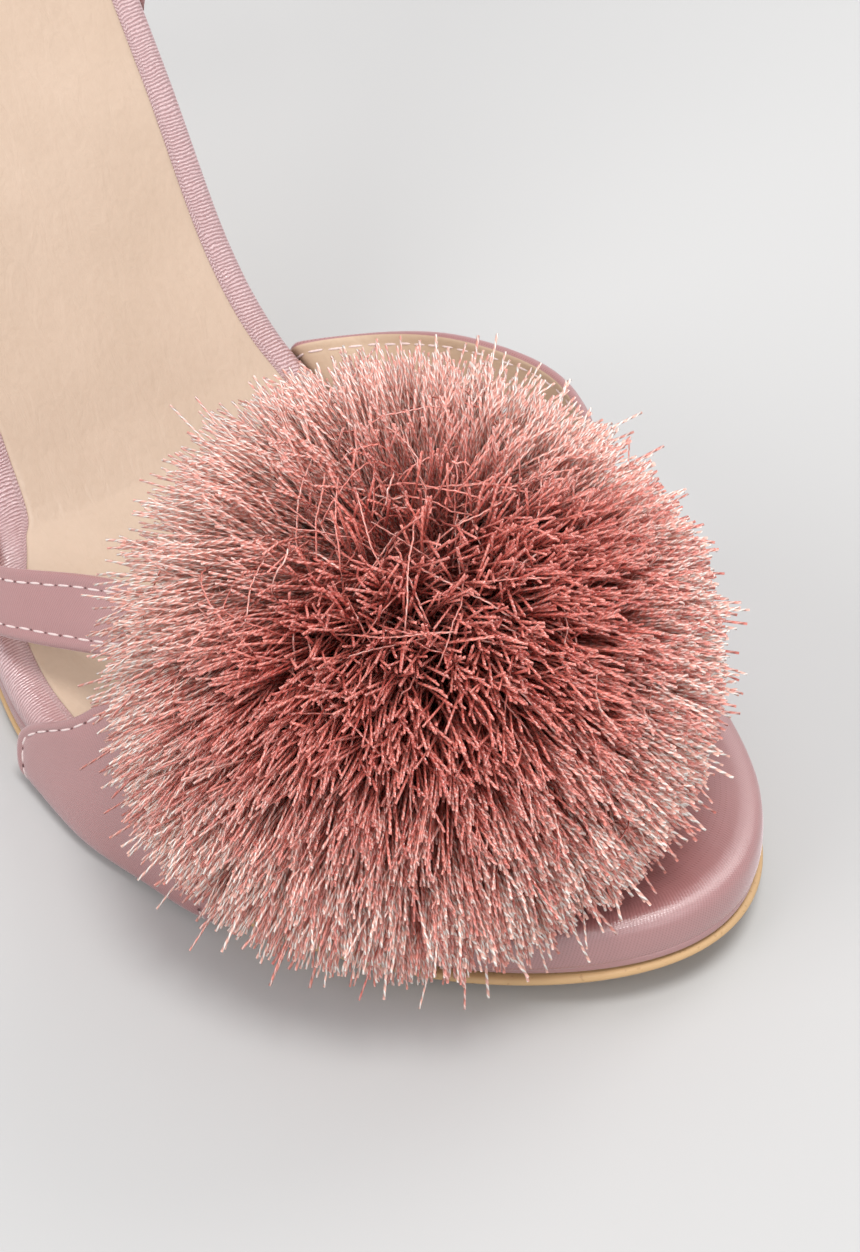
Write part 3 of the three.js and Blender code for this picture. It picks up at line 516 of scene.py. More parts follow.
def soleLayer(rings, columns):
    # side wall through stacked rings, and a ruled cap across the first and the last
    walls = np.stack([np.concatenate([right, left[::-1], right[:1]]) for right, left in rings])
    u = arcLength(walls.transpose(1, 0, 2))[None, :] + np.zeros(walls.shape[:2])
    v = np.cumsum(np.linalg.norm(np.diff(walls, axis=0, prepend=walls[:1]), axis=-1).mean(1))[:, None]
    grids = [{"points": walls, "uv": np.stack([u, v + np.zeros_like(u)], axis=-1)}]
    for right, left in (rings[0], rings[-1]):
        t = np.linspace(0, 1, columns + 1)[None, :, None]
        cap = right[:, None] * (1 - t) + left[:, None] * t
        grids.append({"points": cap, "uv": cap[..., :2]})
    return grids


def roundEdge(rows, steps):
    # spline through rows of (spread, share of the thickness), for a softly rounded edge
    return splineRows(np.array(rows, float), steps)


def makeOutsole():
    # its rounded edge carried round the outline, cut off square at the breast of the heel
    s = {
        "edge": [(-3.2, 0), (-1.4, 0.14), (-0.1, 0.38), (0.25, 0.58), (0.1, 0.8), (-1, 0.93)],
        "steps": 16, "columns": 12,
    }
    rings = [
        soleRing(spread, share * last["outsoleThick"], start=breastX + last["gap"])
        for spread, share in roundEdge(s["edge"], s["steps"])
    ]
    sheet = makePiece("outsole_sheet", soleLayer(rings, s["columns"]), [tanSole])
    return dress(sheet, "outsole")


# the insole's cover at the toe: its span along the foot, and how far it thins and draws in the midsole
skirt = {"span": (22, 26), "drop": 1.2, "drawIn": 0.03, "from": 0.55, "depth": 0.85}


def toeSkirt(x):
    # 0 in the waist, 1 at the toe, where the insole's cover comes down over the midsole
    return fade(x, skirt["span"])


def makeMidsole():
    # its edge carried round the outline at the midsole's thickness, drawn in under the skirt at the toe
    s = {
        "edge": [(-1.2, 0), (-0.1, 0.02), (0.1, 0.2), (0.12, 0.5), (0.12, 0.85), (0, 0.99), (-1.0, 1)],
        "steps": 18, "columns": 4,
    }
    base = last["outsoleThick"] + last["gap"]
    rings = [
        soleRing(spread, lambda x, share=share: base + share * (
            midsoleThick(x) - skirt["drop"] * toeSkirt(x)
        ))
        for spread, share in roundEdge(s["edge"], s["steps"])
    ]
    for ring in rings:
        for edge in ring:
            middle = outlineAt(edge[:, 0], 0)[1]
            edge[:, 1] += (middle - edge[:, 1]) * skirt["drawIn"] * toeSkirt(edge[:, 0])
    return dress(makePiece("midsole_cover", soleLayer(rings, s["columns"]), [satin]), "midsole")


def makeInsole():
    # the rolled edge carried round the outline, then flat inward to the bed that the sock is let into
    s = {
        "roll": [(-1.0, 0), (0.05, 0.04), (0.42, 0.28), (0.44, 0.5), (0.1, 0.73), (-0.75, 0.9),
                 (-2.0, 0.985), (-3.3, 1.0)],
        "steps": 26, "inner": 12, "columns": 8,
        "gathered": ((20, -25), (-100, 20)),  # both ends of the gathers: from here, over this far
    }
    bed = {"spread": last["gap"] - last["sockInset"], "front": last["sockFront"] + last["sockInset"]}

    def level(share):
        hang = (1 - min(share / skirt["from"], 1)) * skirt["depth"]
        return lambda x: insoleBase(x) + share * last["insoleThick"] - hang * midsoleThick(x) * toeSkirt(x)

    rings = [soleRing(spread, level(share)) for spread, share in roundEdge(s["roll"], s["steps"])]
    edge = s["roll"][-1][0]
    for t in np.linspace(0, 1, s["inner"] + 1)[1:]:
        rings.append(soleRing(edge + (bed["spread"] - edge) * t, insoleTop,
                              toeEnd=last["toeReach"] + (bed["front"] - last["toeReach"]) * t))
    rings.append(soleRing(bed["spread"], lambda x: insoleTop(x) - last["bedDepth"], toeEnd=bed["front"]))
    grids = soleLayer(rings, s["columns"])
    x = grids[0]["points"][..., 0]
    front, rear = (fade(x, span) for span in s["gathered"])
    grids[0]["mark"] = front * rear * np.clip((grids[0]["uv"][..., 1] - 1) / 2, 0, 1)
    return dress(makePiece("insole_cover", grids, [gatheredSatin]), "insole")


def makeSock():
    # a thin sheet with a rounded border, laid into the insole's bed
    s = {
        "edge": [(-0.25, 0), (0, 0.2), (0, 0.7), (-0.3, 1), (-1.2, 1.02)], "steps": 10, "columns": 30,
        "play": 0.27,  # less than the gap, so that the sock fills its bed
    }
    front = last["sockFront"] + last["sockInset"]

    def level(share):
        return lambda x: insoleTop(x) - last["bedDepth"] + last["gap"] + share * last["sockThick"]

    rings = [
        soleRing(spread - last["sockInset"] + s["play"], level(share), toeEnd=front)
        for spread, share in roundEdge(s["edge"], s["steps"])
    ]
    sheet = makePiece("sock_sheet", soleLayer(rings, s["columns"]), [sockLeather])
    return dress(sheet, "sock")


makeOutsole()
makeMidsole()
makeInsole()
makeSock()
print("sandal: sole, insole and sock are laid")

# Straps and counter: sheets with rounded borders, satin outside and leather inside


# mm: half width of the stitch groove, rise of the crown behind it, lip before it, most relief on the inside
sheetForm = {"grooveWidth": 0.35, "crownRise": 2, "lip": 0.08, "mostInside": 0.4}


def borderSteps(s, middle):
    # (share, mm) pairs across a sheet: round border, stitch groove, then even shares
    radius = s["wall"] / 2
    edge = list(radius * (1 - np.cos(np.linspace(0, math.pi / 2, 6))))
    edge += [0.55 * s["inset"], *(s["inset"] + np.array([-0.7, -0.35, 0, 0.35, 0.7])), s["inset"] + 1.6]
    share = [0.0] * len(edge) + list(np.linspace(0, 1, middle + 2)[1:-1]) + [1.0] * len(edge)
    return np.array(share), np.array(edge + [edge[-1]] * middle + edge[::-1])


def acrossSheet(values, share, inset, width):
    # picks values at share of the way across plus inset mm from the nearer border, row by row
    c = share[None, :] + inset[None, :] / width[:, None] * (1 - 2 * share[None, :])
    place = np.clip(c, 0, 1) * (values.shape[1] - 1)
    i = np.minimum(place.astype(int), values.shape[1] - 2)
    w = (place - i)[..., None]
    row = np.arange(len(values))[:, None]
    return values[row, i] * (1 - w) + values[row, i + 1] * w, c


def sheetGrids(inner, s, wallAt=None, relief=None, openEnds=(0, 0)):
    # outer and inner faces of a sheet over its inner surface; borders close in half circles
    inner = np.asarray(inner, float)
    width = np.linalg.norm(np.diff(inner, axis=1), axis=-1).sum(1)
    share, inset = borderSteps(s, s["middle"])
    points, c = acrossSheet(inner, share, inset, np.maximum(width, 4 * s["inset"]))
    normals = unit(acrossSheet(gridNormals(inner), share, inset, np.maximum(width, 4 * s["inset"]))[0])
    along = arcLength(inner)
    wall = s["wall"] * np.ones(len(inner)) if wallAt is None else wallAt(along)
    toBorder = np.minimum(c, 1 - c) * width[:, None]
    for end, tip in zip(openEnds, (along, along[-1] - along)):
        if end:
            toBorder = np.minimum(toBorder, tip[:, None])
    half = wall[:, None] / 2
    bulge = np.sqrt(1 - (1 - np.clip(toBorder / half, 0, 1)) ** 2)
    groove = s["groove"] * np.exp(-(((toBorder - s["inset"]) / sheetForm["grooveWidth"]) ** 2)) * bulge
    crown = s["crown"] * fade(toBorder, (s["inset"], sheetForm["crownRise"]))
    crown += sheetForm["lip"] * smooth(toBorder) * (toBorder < s["inset"])
    u = along[:, None] + np.zeros_like(c)
    v = c * width[:, None]
    lift = relief(u, v, points) if relief else 0
    out = (half * (1 + bulge) - groove + crown * bulge + lift * bulge)[..., None]
    back = (half * (1 - bulge) + 0.5 * groove + np.minimum(lift, sheetForm["mostInside"]) * bulge)[..., None]
    uv = np.stack([u, v], axis=-1)
    lined = (toBorder > s["turn"]).astype(int)
    lined = np.minimum(lined[:-1, :-1], lined[1:, 1:])
    outer, inside = points + normals * out, points + normals * back
    grids = [{"points": outer, "uv": uv, "finish": 0}, {"points": inside, "uv": uv, "finish": lined}]
    for end, row in zip(openEnds, (0, -1)):
        if not end:  # a border that is tucked away is closed straight across
            grids.append({"points": np.stack([outer[row], inside[row]]), "uv": np.stack([uv[row], uv[row]])})
    return grids, {"v": v, "outer": outer, "inside": inside, "normals": normals, "width": width}


stitchKit = {
    "pitch": 2.8, "length": 2.2, "radius": 0.185, "sunk": 0.04, "sides": 6, "wander": 0.05, "arch": 0.06,
    "hole": {"length": 0.5, "radius": 0.18, "sides": 5},
}


def alongLine(values, lengths, at):
    return np.stack([np.interp(at, lengths, values[:, k]) for k in range(3)], axis=-1)


def polyline(points, step, start=0.0, end=0.0):
    # even places along a line: points and directions every step mm
    lengths = np.concatenate([[0], np.cumsum(np.linalg.norm(np.diff(points, axis=0), axis=-1))])
    count = max(int((lengths[-1] - start - end) / step), 1)
    at = start + (np.arange(count) + 0.5) * (lengths[-1] - start - end) / count
    place, ahead, behind = (alongLine(points, lengths, at + shift) for shift in (0, 0.5, -0.5))
    return place, unit(ahead - behind), at, lengths


def capsules(centres, directions, normals, length, radius, sides, arch=0.0):
    # one small rounded rod per centre: rings along its axis with the radius of a half circle at the ends
    t = np.array([-1, -0.86, -0.45, 0.45, 0.86, 1])
    size = radius * np.sqrt(np.maximum(1 - np.abs(t) ** 3.0, 0))
    angle = np.linspace(0, 2 * math.pi, sides + 1)
    side = unit(np.cross(directions, normals))
    ring = np.cos(angle)[:, None, None] * side[None] + np.sin(angle)[:, None, None] * normals[None]
    axis = centres[None] + (t * length / 2)[:, None, None] * directions[None]
    axis = axis + (arch * (1 - t**2))[:, None, None] * normals[None]
    points = axis[:, None] + size[:, None, None, None] * ring[None]
    return points.transpose(2, 0, 1, 3)  # rod, ring, corner, xyz


def rodGrids(rods):
    return [{"points": rod} for rod in rods]


def stitchLine(line, normals, start=1.0, end=1.0):
    # stitches on a line of points with the surface normals beside them
    s = stitchKit
    place, direction, at, lengths = polyline(line, s["pitch"], start, end)
    up = unit(alongLine(normals, lengths, at))
    up = unit(up - (up * direction).sum(-1, keepdims=True) * direction)
    place = place - s["sunk"] * up
    wander = s["wander"] * np.sin(np.arange(len(place)) * 2.4)[:, None] * np.cross(direction, up)
    rods = capsules(place + wander, direction, up, s["length"], s["radius"], s["sides"], s["arch"])
    return rods, (place + 0.5 * s["pitch"] * direction + wander, direction, up)


def rowAt(info, inset, side, face):
    # the line that lies inset mm from one border of a sheet, and its normals
    v = info["v"] if side == 0 else info["width"][:, None] - info["v"]
    order = np.argmin(np.abs(v - inset), axis=1)
    row = np.arange(len(order))
    sign = 1 if face == "outer" else -1
    return info[face][row, order], sign * info["normals"][row, order]


def threadFinish(name, colour, rough=0.45):
    # fine speckle between the colour and a darker one
    dark = tuple(0.6 * c for c in colour[:3]) + (1,)
    return mottledFinish(name, dark, colour, 2600.0, 2.0, 0.4, 0.0001,
                         Roughness=rough, Sheen_Weight=0.3, Specular_IOR_Level=0.6)


stitchThread = threadFinish("stitchThread", (0.9, 0.72, 0.7, 1))
# the dark pinhole colour is painted shade inside the needle holes
pinholeShade = threadFinish("pinholeShade", (0.17, 0.075, 0.075, 1), 0.9)
allStitches = []
allHoles = []


def addStitches(info, inset, sides=(0, 1), faces=("outer", "inside"), holed=("outer",), start=1.0, end=1.0):
    for side in sides:
        for face in faces:
            rods, holes = stitchLine(*rowAt(info, inset, side, face), start, end)
            allStitches.extend(rods)
            if face in holed:
                allHoles.append(holes)


upper = {
    "rootWall": 1.3,
    "bandRoot": (0.075, 0.52),  # rear and front, shares of the toe's reach
    # side, height, rear, front: shares of the half width, of the room and of the toe's reach
    "band": [
        (-0.97, 0.42, 0.2, 0.55), (-0.8, 0.68, 0.27, 0.58), (-0.48, 0.9, 0.34, 0.61), (0, 1, 0.37, 0.62),
        (0.5, 0.96, 0.35, 0.61), (0.84, 0.78, 0.29, 0.58), (1.02, 0.48, 0.22, 0.55),
    ],
    # side straps: upper and lower border as shares of the toe's reach, half ball width and instep
    "near": {"side": -1, "root": (-0.36, -0.17), "rows": [
        ((-0.2, -0.83, 0.43), (-0.1, -0.94, 0.32)), ((0.06, -0.71, 0.74), (0.1, -0.83, 0.52)),
        ((0.26, -0.5, 0.86), (0.3, -0.66, 0.71)), ((0.4, -0.24, 0.885), (0.44, -0.42, 0.84)),
    ]},
    "far": {"side": 1, "root": (-0.46, -0.28), "rows": [
        ((-0.31, 0.805, 0.54), (-0.23, 0.775, 0.38)), ((-0.14, 0.915, 0.73), (-0.11, 0.93, 0.5)),
        ((0.04, 1, 0.84), (0.06, 1.02, 0.58)), ((0.15, 0.98, 0.88), (0.17, 1.01, 0.63)),
        ((0.28, 0.84, 0.92), (0.3, 0.93, 0.72)), ((0.4, 0.36, 0.955), (0.44, 0.5, 0.925)),
    ]},
}
rootLevel = last["outsoleThick"] + last["gap"] + last["skived"]


def roomHeight(x):
    # straight from the height over the instep down to that over the toes
    return last["instepHeight"] + (last["toeRoomHeight"] - last["instepHeight"]) * (x / last["toeReach"])


def strapRoot(x, side, fold=0.0):
    # five control rows from the tuck under the midsole up to the insole's edge; fold lets it sag there
    half, middle = outlineAt(x)
    wall = upper["rootWall"]
    rows = [
        (half - last["tuck"], rootLevel), (half - 0.45 * last["tuck"], rootLevel),
        (half - 0.6 + 0.5 * fold, rootLevel + 0.1), (half + wall + 0.2 * fold, rootLevel + 2.2 - 3.1 * fold),
        (half + wall, 0.9 * insoleTop(x)),
    ]
    return [onSole(x, middle + side * out, level) for out, level in rows]


def bandSurface(columns=33, steps=150):
    # spline from the right tuck over the foot to the left one, its rows ruled from the rear edge to the front
    across = np.linspace(1, 0, columns)
    rear, front = upper["bandRoot"]
    rootX = last["toeReach"] * (rear + (front - rear) * across)
    rows = []
    for side, height, back, ahead in upper["band"]:
        x = last["toeReach"] * (back + (ahead - back) * across)
        half, middle = outlineAt(x)
        z = tread(x) + rootLevel + height * roomHeight(x)
        rows.append(np.stack([x, middle + side * half, z], axis=-1))
    return splineRows(np.stack([*strapRoot(rootX, -1, 1.0), *rows, *strapRoot(rootX, 1, 1.0)[::-1]]), steps)


def strapSurface(strap, columns=17, steps=90):
    # spline from the tuck to the knot under the pompom, its rows ruled between both borders
    across = np.linspace(0, 1, columns) if strap["side"] > 0 else np.linspace(1, 0, columns)
    size = np.array([last["toeReach"], last["ballWidth"] / 2, last["instepHeight"]])
    rootX = last["toeReach"] * (strap["root"][0] + (strap["root"][1] - strap["root"][0]) * across)
    rows = [
        np.array(top) * size * (1 - across[:, None]) + np.array(low) * size * across[:, None]
        for top, low in strap["rows"]
    ]
    return splineRows(np.stack([*strapRoot(rootX, strap["side"]), *rows]), steps)


def skived(length, both):
    # thin where it is tucked in, full once it has turned up round the sole
    def wall(along):
        fromEnd = np.minimum(along, length - along) if both else along
        return last["skived"] + (last["bandWall"] - last["skived"]) * smooth((fromEnd - 4) / 4)

    return wall


def makeUpper():
    # three sheets over their inner surfaces: the toe band with its soft troughs, then both side straps
    s = {"wall": last["bandWall"], "inset": 1.7, "groove": 0.16, "crown": 0.12, "turn": 0.16, "middle": 26}

    def bandFolds(u, v, points):
        # soft troughs that run up from the sole towards the knot under the pompom
        far = 0.5 + 0.5 * np.sign(points[..., 1])
        nearFolds = 0.22 * np.sin(v / 3.1 + u / 9) * np.exp(-((u - 13) / 9) ** 2)
        farFolds = 0.15 * np.sin(v / 3.6 - u / 11) * np.exp(-((u[-1, 0] - 14 - u) / 8) ** 2)
        return nearFolds * (1 - far) + farFolds * far

    def strapFolds(u, v, points):
        return 0.1 * np.sin(u / 2.3) * np.exp(-((u - 12) / 5) ** 2)

    inner = bandSurface()
    grids, info = sheetGrids(inner, s, skived(arcLength(inner)[-1], True), bandFolds)
    addStitches(info, s["inset"], start=9, end=9)
    for strap in (upper["near"], upper["far"]):
        inner = strapSurface(strap)
        more, info = sheetGrids(inner, {**s, "middle": 8}, skived(arcLength(inner)[-1], False), strapFolds)
        grids += more
        addStitches(info, s["inset"], start=9, end=2)
    return dress(makePiece("upper_straps", grids, [satin, liningLeather]), "upper")


makeUpper()

counter = {
    "wall": 1.8, "height": 57, "bulge": 1.2, "taper": 5, "steps": 60,
    # along the heel's reach and height of the topline
    "topline": [(-1, 1), (-0.93, 0.93), (-0.83, 0.77), (-0.74, 0.58), (-0.66, 0.41), (-0.6, 0.27),
                (-0.56, 0.17), (-0.535, 0.1)],
}
toplineHeight = curveThrough([(stationX(a), h * counter["height"]) for a, h in counter["topline"]])
counterSpread = last["insoleLip"] + last["gap"]
counterRoot = last["outsoleThick"] + last["gap"]


def counterLean(height):
    # half a sine bulges the wall over the heel, and a parabola draws it in at the topline
    share = np.maximum(0, height / counter["height"])
    return counter["bulge"] * np.sin(math.pi * np.minimum(1, share / 0.63)) - counter["taper"] * share**2


def makeCounter():
    # rows round the heel from the left tip to the right one, columns up the wall
    s = {"wall": counter["wall"], "inset": 2.6, "groove": 0.16, "crown": 0.1, "turn": 0.5, "middle": 34}
    front = stationX(counter["topline"][-1][0])
    x = stationRow(counterSpread)
    x = np.append(x[x < front - 0.4], front)
    half, middle = outlineAt(x, counterSpread)
    left = np.stack([x, middle + half], axis=-1)[::-1]
    right = np.stack([x, middle - half], axis=-1)[1:]
    path = np.concatenate([left, right])
    step = np.gradient(path, axis=0)
    outward = unit(np.stack([step[:, 1], -step[:, 0], np.zeros(len(path))], axis=-1))
    root = onSole(path[:, 0], path[:, 1], counterRoot)
    square = unit(onSole(path[:, 0], path[:, 1], counterRoot + 1) - root)
    upright = np.clip((front - path[:, 0]) / (0.3 * last["heelReach"]), 0, 1)[:, None]
    up = unit(square * (1 - upright) + np.array([0, 0, 1]) * upright)
    height = toplineHeight(path[:, 0])[:, None] * np.linspace(0, 1, counter["steps"] + 1)[None, :]
    lean = outward[:, None] * counterLean(height)[..., None]
    inner = root[:, None] + up[:, None] * height[..., None] + lean
    grids, info = sheetGrids(inner, s, openEnds=(1, 1))
    addStitches(info, s["inset"], sides=(1,), holed=("outer", "inside"), start=4, end=4)
    return dress(makePiece("heel_counter", grids, [satin, liningLeather]), "counter")


makeCounter()
print("sandal: straps and counter are cut")

heelForm = {
    "lift": 6, "steps": 84, "backTurn": 0.55, "backRound": 2.2,
    # level, back, front, half, slope, square
    "rows": [
        (0, -0.906, -0.843, 0.116, 0, 0.66), (0.12, -0.908, -0.841, 0.12, 0, 0.66),
        (0.27, -0.915, -0.836, 0.135, 0.02, 0.66), (0.42, -0.931, -0.824, 0.175, 0.08, 0.7),
        (0.56, -0.955, -0.802, 0.25, 0.18, 0.76), (0.68, -0.98, -0.771, 0.365, 0.32, 0.82),
        (0.775, -1, -0.738, 0.49, 0.46, 0.88),
    ],
}
seatSpread = counterSpread + counter["wall"]


def heelSection(t, square):
    # half width from the back of the heel to its breast: a rounded back, then a slow narrowing
    turn, power = heelForm["backTurn"], heelForm["backRound"]
    back = (1 - (1 - np.minimum(t / turn, 1)) ** power) ** (1 / power)
    return np.where(t < turn, back, 1 - (1 - square) * ((t - turn) / (1 - turn)) ** 2)


def heelRing(row, shares, scale=1.0, drop=0.0):
    # both edges of one section of the heel, which slopes down to its breast
    level, back, front, half, slope, square = row
    back, front = back * last["heelReach"], front * last["heelReach"]
    centre = (back + front) / 2
    x = centre + scale * (back + (front - back) * shares - centre)
    y = scale * half * heelSection(shares, square) * last["ballWidth"] / 2
    lowest = heelForm["lift"] + last["gap"]
    z = lowest + level * (last["seatHeight"] - heelForm["lift"]) - slope * (x - centre) - drop
    return np.stack([x, -y, z], axis=-1), np.stack([x, y, z], axis=-1)


def seatRow():
    # stations round the back of the heel, ending at its breast
    x = stationRow(seatSpread)
    return np.append(x[x < breastX - 0.4], breastX)


def seatShares(x):
    return (x - x[0]) / (breastX - x[0])


def makeHeel():
    # a spline through the level sections, from the lift up to the slanting seat under the sole
    x = seatRow()
    half, middle = outlineAt(x, seatSpread)
    level = last["outsoleThick"]
    rings = [heelRing(row, seatShares(x)) for row in heelForm["rows"]]
    rings.append((onSole(x, middle - half, level), onSole(x, middle + half, level)))
    loops = splineRows(np.stack([np.stack(ring) for ring in rings]), heelForm["steps"])
    grids = soleLayer([(loop[0], loop[1]) for loop in loops], 8)
    wall = grids[0]["points"]
    around = np.broadcast_to(arcLength(wall.transpose(1, 0, 2)), wall.shape[:2])
    grids[0]["uv"] = np.stack([around, wall[..., 2]], axis=-1)
    return dress(makePiece("heel_cover", grids, [satin]), "heel")


def liftFinish():
    return mottledFinish("liftRubber", (0.13, 0.07, 0.04, 1), (0.24, 0.14, 0.08, 1), 900.0, 4.0, 0.4, 0.0002,
                         Roughness=0.55, Specular_IOR_Level=0.4)


def makeLift():
    # the heel's lowest section, a little wider, with softly rounded edges
    foot, top = heelForm["rows"][0], heelForm["lift"] + last["gap"]
    profile = splineRows(np.array([
        (0.93, top), (0.99, top - 0.15), (1.02, top - 0.6), (1.02, top - 0.9 * heelForm["lift"]),
        (1.0, last["gap"] + 0.05), (0.95, last["gap"]),
    ]), 14)
    rings = [heelRing(foot, seatShares(seatRow()), scale, drop) for scale, drop in profile]
    return dress(makePiece("heel_lift", soleLayer(rings, 4), [liftFinish()]), "top_lift")


makeHeel()
makeLift()

ankle = {
    "length": 76, "width": 62, "rise": 14, "strapWidth": 11.5, "wall": 1.6, "tilt": 0.05, "span": 14,
    "wire": 1.0, "prong": 0.6, "innerBar": -92.0, "tail": 48.0, "loopWidth": 11, "loopWall": 1.4,
}
counterTop = onSole(-last["heelReach"] - counterSpread, 0, counterRoot)
ankleMiddle = np.array([
    counterTop[0] + counter["taper"] + ankle["length"] / 2,
    0,
    counterTop[2] + counter["height"] + ankle["rise"],
])


def onAnkle(angle, out, up):
    # ellipse round the ankle, out along its normal, up from its middle line, tilted up to the front
    a, out, up = np.broadcast_arrays(np.radians(np.asarray(angle, float)), out, up)
    normal = unit(np.stack([np.cos(a) / ankle["length"], np.sin(a) / ankle["width"]], axis=-1))
    x = ankle["length"] / 2 * np.cos(a) + normal[..., 0] * out
    y = ankle["width"] / 2 * np.sin(a) + normal[..., 1] * out
    z = up + ankle["tilt"] * (x + ankle["length"] / 2)
    return np.stack([x, y, z], axis=-1) + ankleMiddle


perDegree = math.radians(ankle["length"] / 2)
outerBar = ankle["innerBar"] + ankle["span"] / perDegree
strapStart = ankle["innerBar"] - (ankle["wire"] + last["gap"]) / perDegree
strapEnd = ankle["innerBar"] - 360 - ankle["tail"]


def strapOut(angle):
    # how far out the strap runs: flat on the ankle, over the buckle's bar, then down on its own first turn
    passed = outerBar - 360 - angle
    climb = 2 * ankle["wire"] + 1.4 * last["gap"]
    over = ankle["wall"] + last["gap"]
    span = ankle["span"] / perDegree
    return climb * smooth(passed / (0.9 * span)) + (over - climb) * smooth(passed / span - 1.3)


def makeAnkleStrap():
    # a strip carried round the ankle's ellipse, its tail narrowed as a quarter circle
    s = {"wall": ankle["wall"], "inset": 1.9, "groove": 0.14, "crown": 0.1, "turn": 0.9, "middle": 8}
    angle = np.linspace(strapStart, strapEnd, 430)
    toEnd = (angle - strapEnd) * perDegree
    shape = 0.25 + 0.75 * np.sqrt(1 - (1 - np.clip(toEnd / 6, 0, 1)) ** 2)
    half = ankle["strapWidth"] / 2 * shape
    up = np.linspace(1, -1, 21)[None, :] * half[:, None]
    inner = onAnkle(angle[:, None], strapOut(angle)[:, None], up)
    grids, info = sheetGrids(inner, s, openEnds=(1, 1))
    addStitches(info, s["inset"], start=3, end=6)
    return dress(makePiece("ankle_band", grids, [satin, liningLeather]), "ankle_strap")


makeAnkleStrap()
print("sandal: heel, lift and ankle strap are made")


def tubePiece(name, paths, radii, sides, materials, closed=False, attributes=None):
    # many tubes at once: at each point of each path a ring of equal corners square to the path
    n, k = paths.shape[:2]
    if closed:
        tangent = unit(np.roll(paths, -1, axis=1) - np.roll(paths, 1, axis=1))
    else:
        tangent = unit(np.gradient(paths, axis=1))
    lean = np.where(np.abs(tangent[..., 2:]) < 0.9, [[[0, 0, 1]]], [[[1, 0, 0]]]).astype(float)
    first = unit(np.cross(tangent, lean if closed else lean[:, :1]))
    second = np.cross(tangent, first)
    a = np.linspace(0, 2 * math.pi, sides, endpoint=False)[None, None, :, None]
    round1, round2 = np.cos(a) * first[:, :, None], np.sin(a) * second[:, :, None]
    rings = paths[:, :, None] + radii[..., None, None] * (round1 + round2)
    index = np.arange(n * k * sides).reshape(n, k, sides)
    here = index if closed else index[:, :-1]
    ahead = np.roll(index, -1, axis=1) if closed else index[:, 1:]
    quads = np.stack([here, np.roll(here, -1, axis=2), np.roll(ahead, -1, axis=2), ahead], axis=-1)
    quads = quads.reshape(-1, 4)
    lengths = np.cumsum(np.linalg.norm(np.diff(paths, axis=1, prepend=paths[:, :1]), axis=-1), axis=1)
    u = np.broadcast_to(lengths[..., None], (n, k, sides)).reshape(-1)
    v = np.broadcast_to(np.arange(sides) / sides, (n, k, sides)).reshape(-1)
    quadV = v[quads[:, :1]] + np.array([0, 1, 1, 0]) / sides
    loops, totals = [quads.reshape(-1)], [np.full(len(quads), 4)]
    uvs = [np.stack([u[quads], quadV], axis=-1).reshape(-1, 2)]
    if not closed:
        for cap in (index[:, 0, ::-1], index[:, -1]):
            loops.append(cap.reshape(-1))
            uvs.append(np.stack([u[cap], v[cap]], axis=-1).reshape(-1, 2))
            totals.append(np.full(n, sides))
    loops, uvs, totals = joined(loops, uvs, totals)
    values = {
        key: np.broadcast_to(value[..., None], (n, k, sides)).reshape(-1)
        for key, value in (attributes or {}).items()
    }
    return placeObject(name, meshFrom(name, rings.reshape(-1, 3), loops, totals, uvs, values, materials))


def metalFinish():
    # polished wire whose colour and dullness drift a little
    material, tree, shader = newMaterial("paleGold", Metallic=1.0, Roughness=0.2)
    noise = noiseAt(tree, objectPlace(tree), 500.0, 4.0)
    feed(tree, shader, Base_Color=mixColours(tree, noise, (0.74, 0.56, 0.33, 1), (0.84, 0.67, 0.43, 1)),
         Roughness=plus(tree, times(tree, noise, 0.16), 0.12))
    return material


paleGold = metalFinish()


def closedSpline(points, steps, tension):
    # uniform cardinal spline through a closed ring of points
    points = np.asarray(points, float)
    t = np.arange(steps) / steps * len(points)
    i = t.astype(int)
    w = (t - i)[:, None]
    p0, p1, p2, p3 = (points[(i + k) % len(points)] for k in (-1, 0, 1, 2))
    t1, t2 = tension * (p2 - p0), tension * (p3 - p1)
    return p1 + t1 * w + (3 * (p2 - p1) - 2 * t1 - t2) * w**2 + (2 * (p1 - p2) + t1 + t2) * w**3


def makeBuckle():
    # round wire on a closed spline through the frame's corners, and a prong from bar to bar
    wire, bar, gap, prong = ankle["wire"], ankle["innerBar"], last["gap"], ankle["prong"]
    barOut = ankle["wall"] + gap + wire
    high = ankle["strapWidth"] / 2 + gap + wire
    between, halfOut = 0.5 * (bar + outerBar), 0.5 * (wire + barOut)
    ring = [onAnkle(*row) for row in (
        (bar, wire, -0.55 * high), (bar, wire, 0.55 * high), (bar + 1.2, 1.1 * wire, high),
        (between, halfOut, 1.05 * high), (outerBar - 1.2, barOut, high), (outerBar, barOut, 0.55 * high),
        (outerBar, barOut, -0.55 * high), (outerBar - 1.2, barOut, -high), (between, halfOut, -1.05 * high),
        (bar + 1.2, 1.1 * wire, -high),
    )]
    path = closedSpline(ring, 160, 0.3)[None]
    frameRing = tubePiece("buckle_ring", path, np.full(path.shape[:2], wire), 20, [paleGold], closed=True)
    dress(frameRing, "buckle_frame")
    rest = barOut + wire + gap + prong
    pin = [onAnkle(*row, 0) for row in (
        (bar + (wire + gap + prong) / perDegree, wire), (bar + 5, 3.3), (outerBar - 6, rest - 0.1),
        (outerBar, rest), (outerBar + 2.5, rest - 0.1),
    )]
    path = splineRows(np.array(pin), 60)[None]
    share = np.linspace(0, 1, path.shape[1])
    pastShaft = np.maximum(np.abs(2 * share - 1) - 0.9, 0)  # both ends of the prong are rounded
    thick = prong * np.sqrt(np.clip(1 - pastShaft**2 / 0.0101, 0.02, 1))
    dress(tubePiece("buckle_pin", path, thick[None], 14, [paleGold]), "buckle_prong")


makeBuckle()


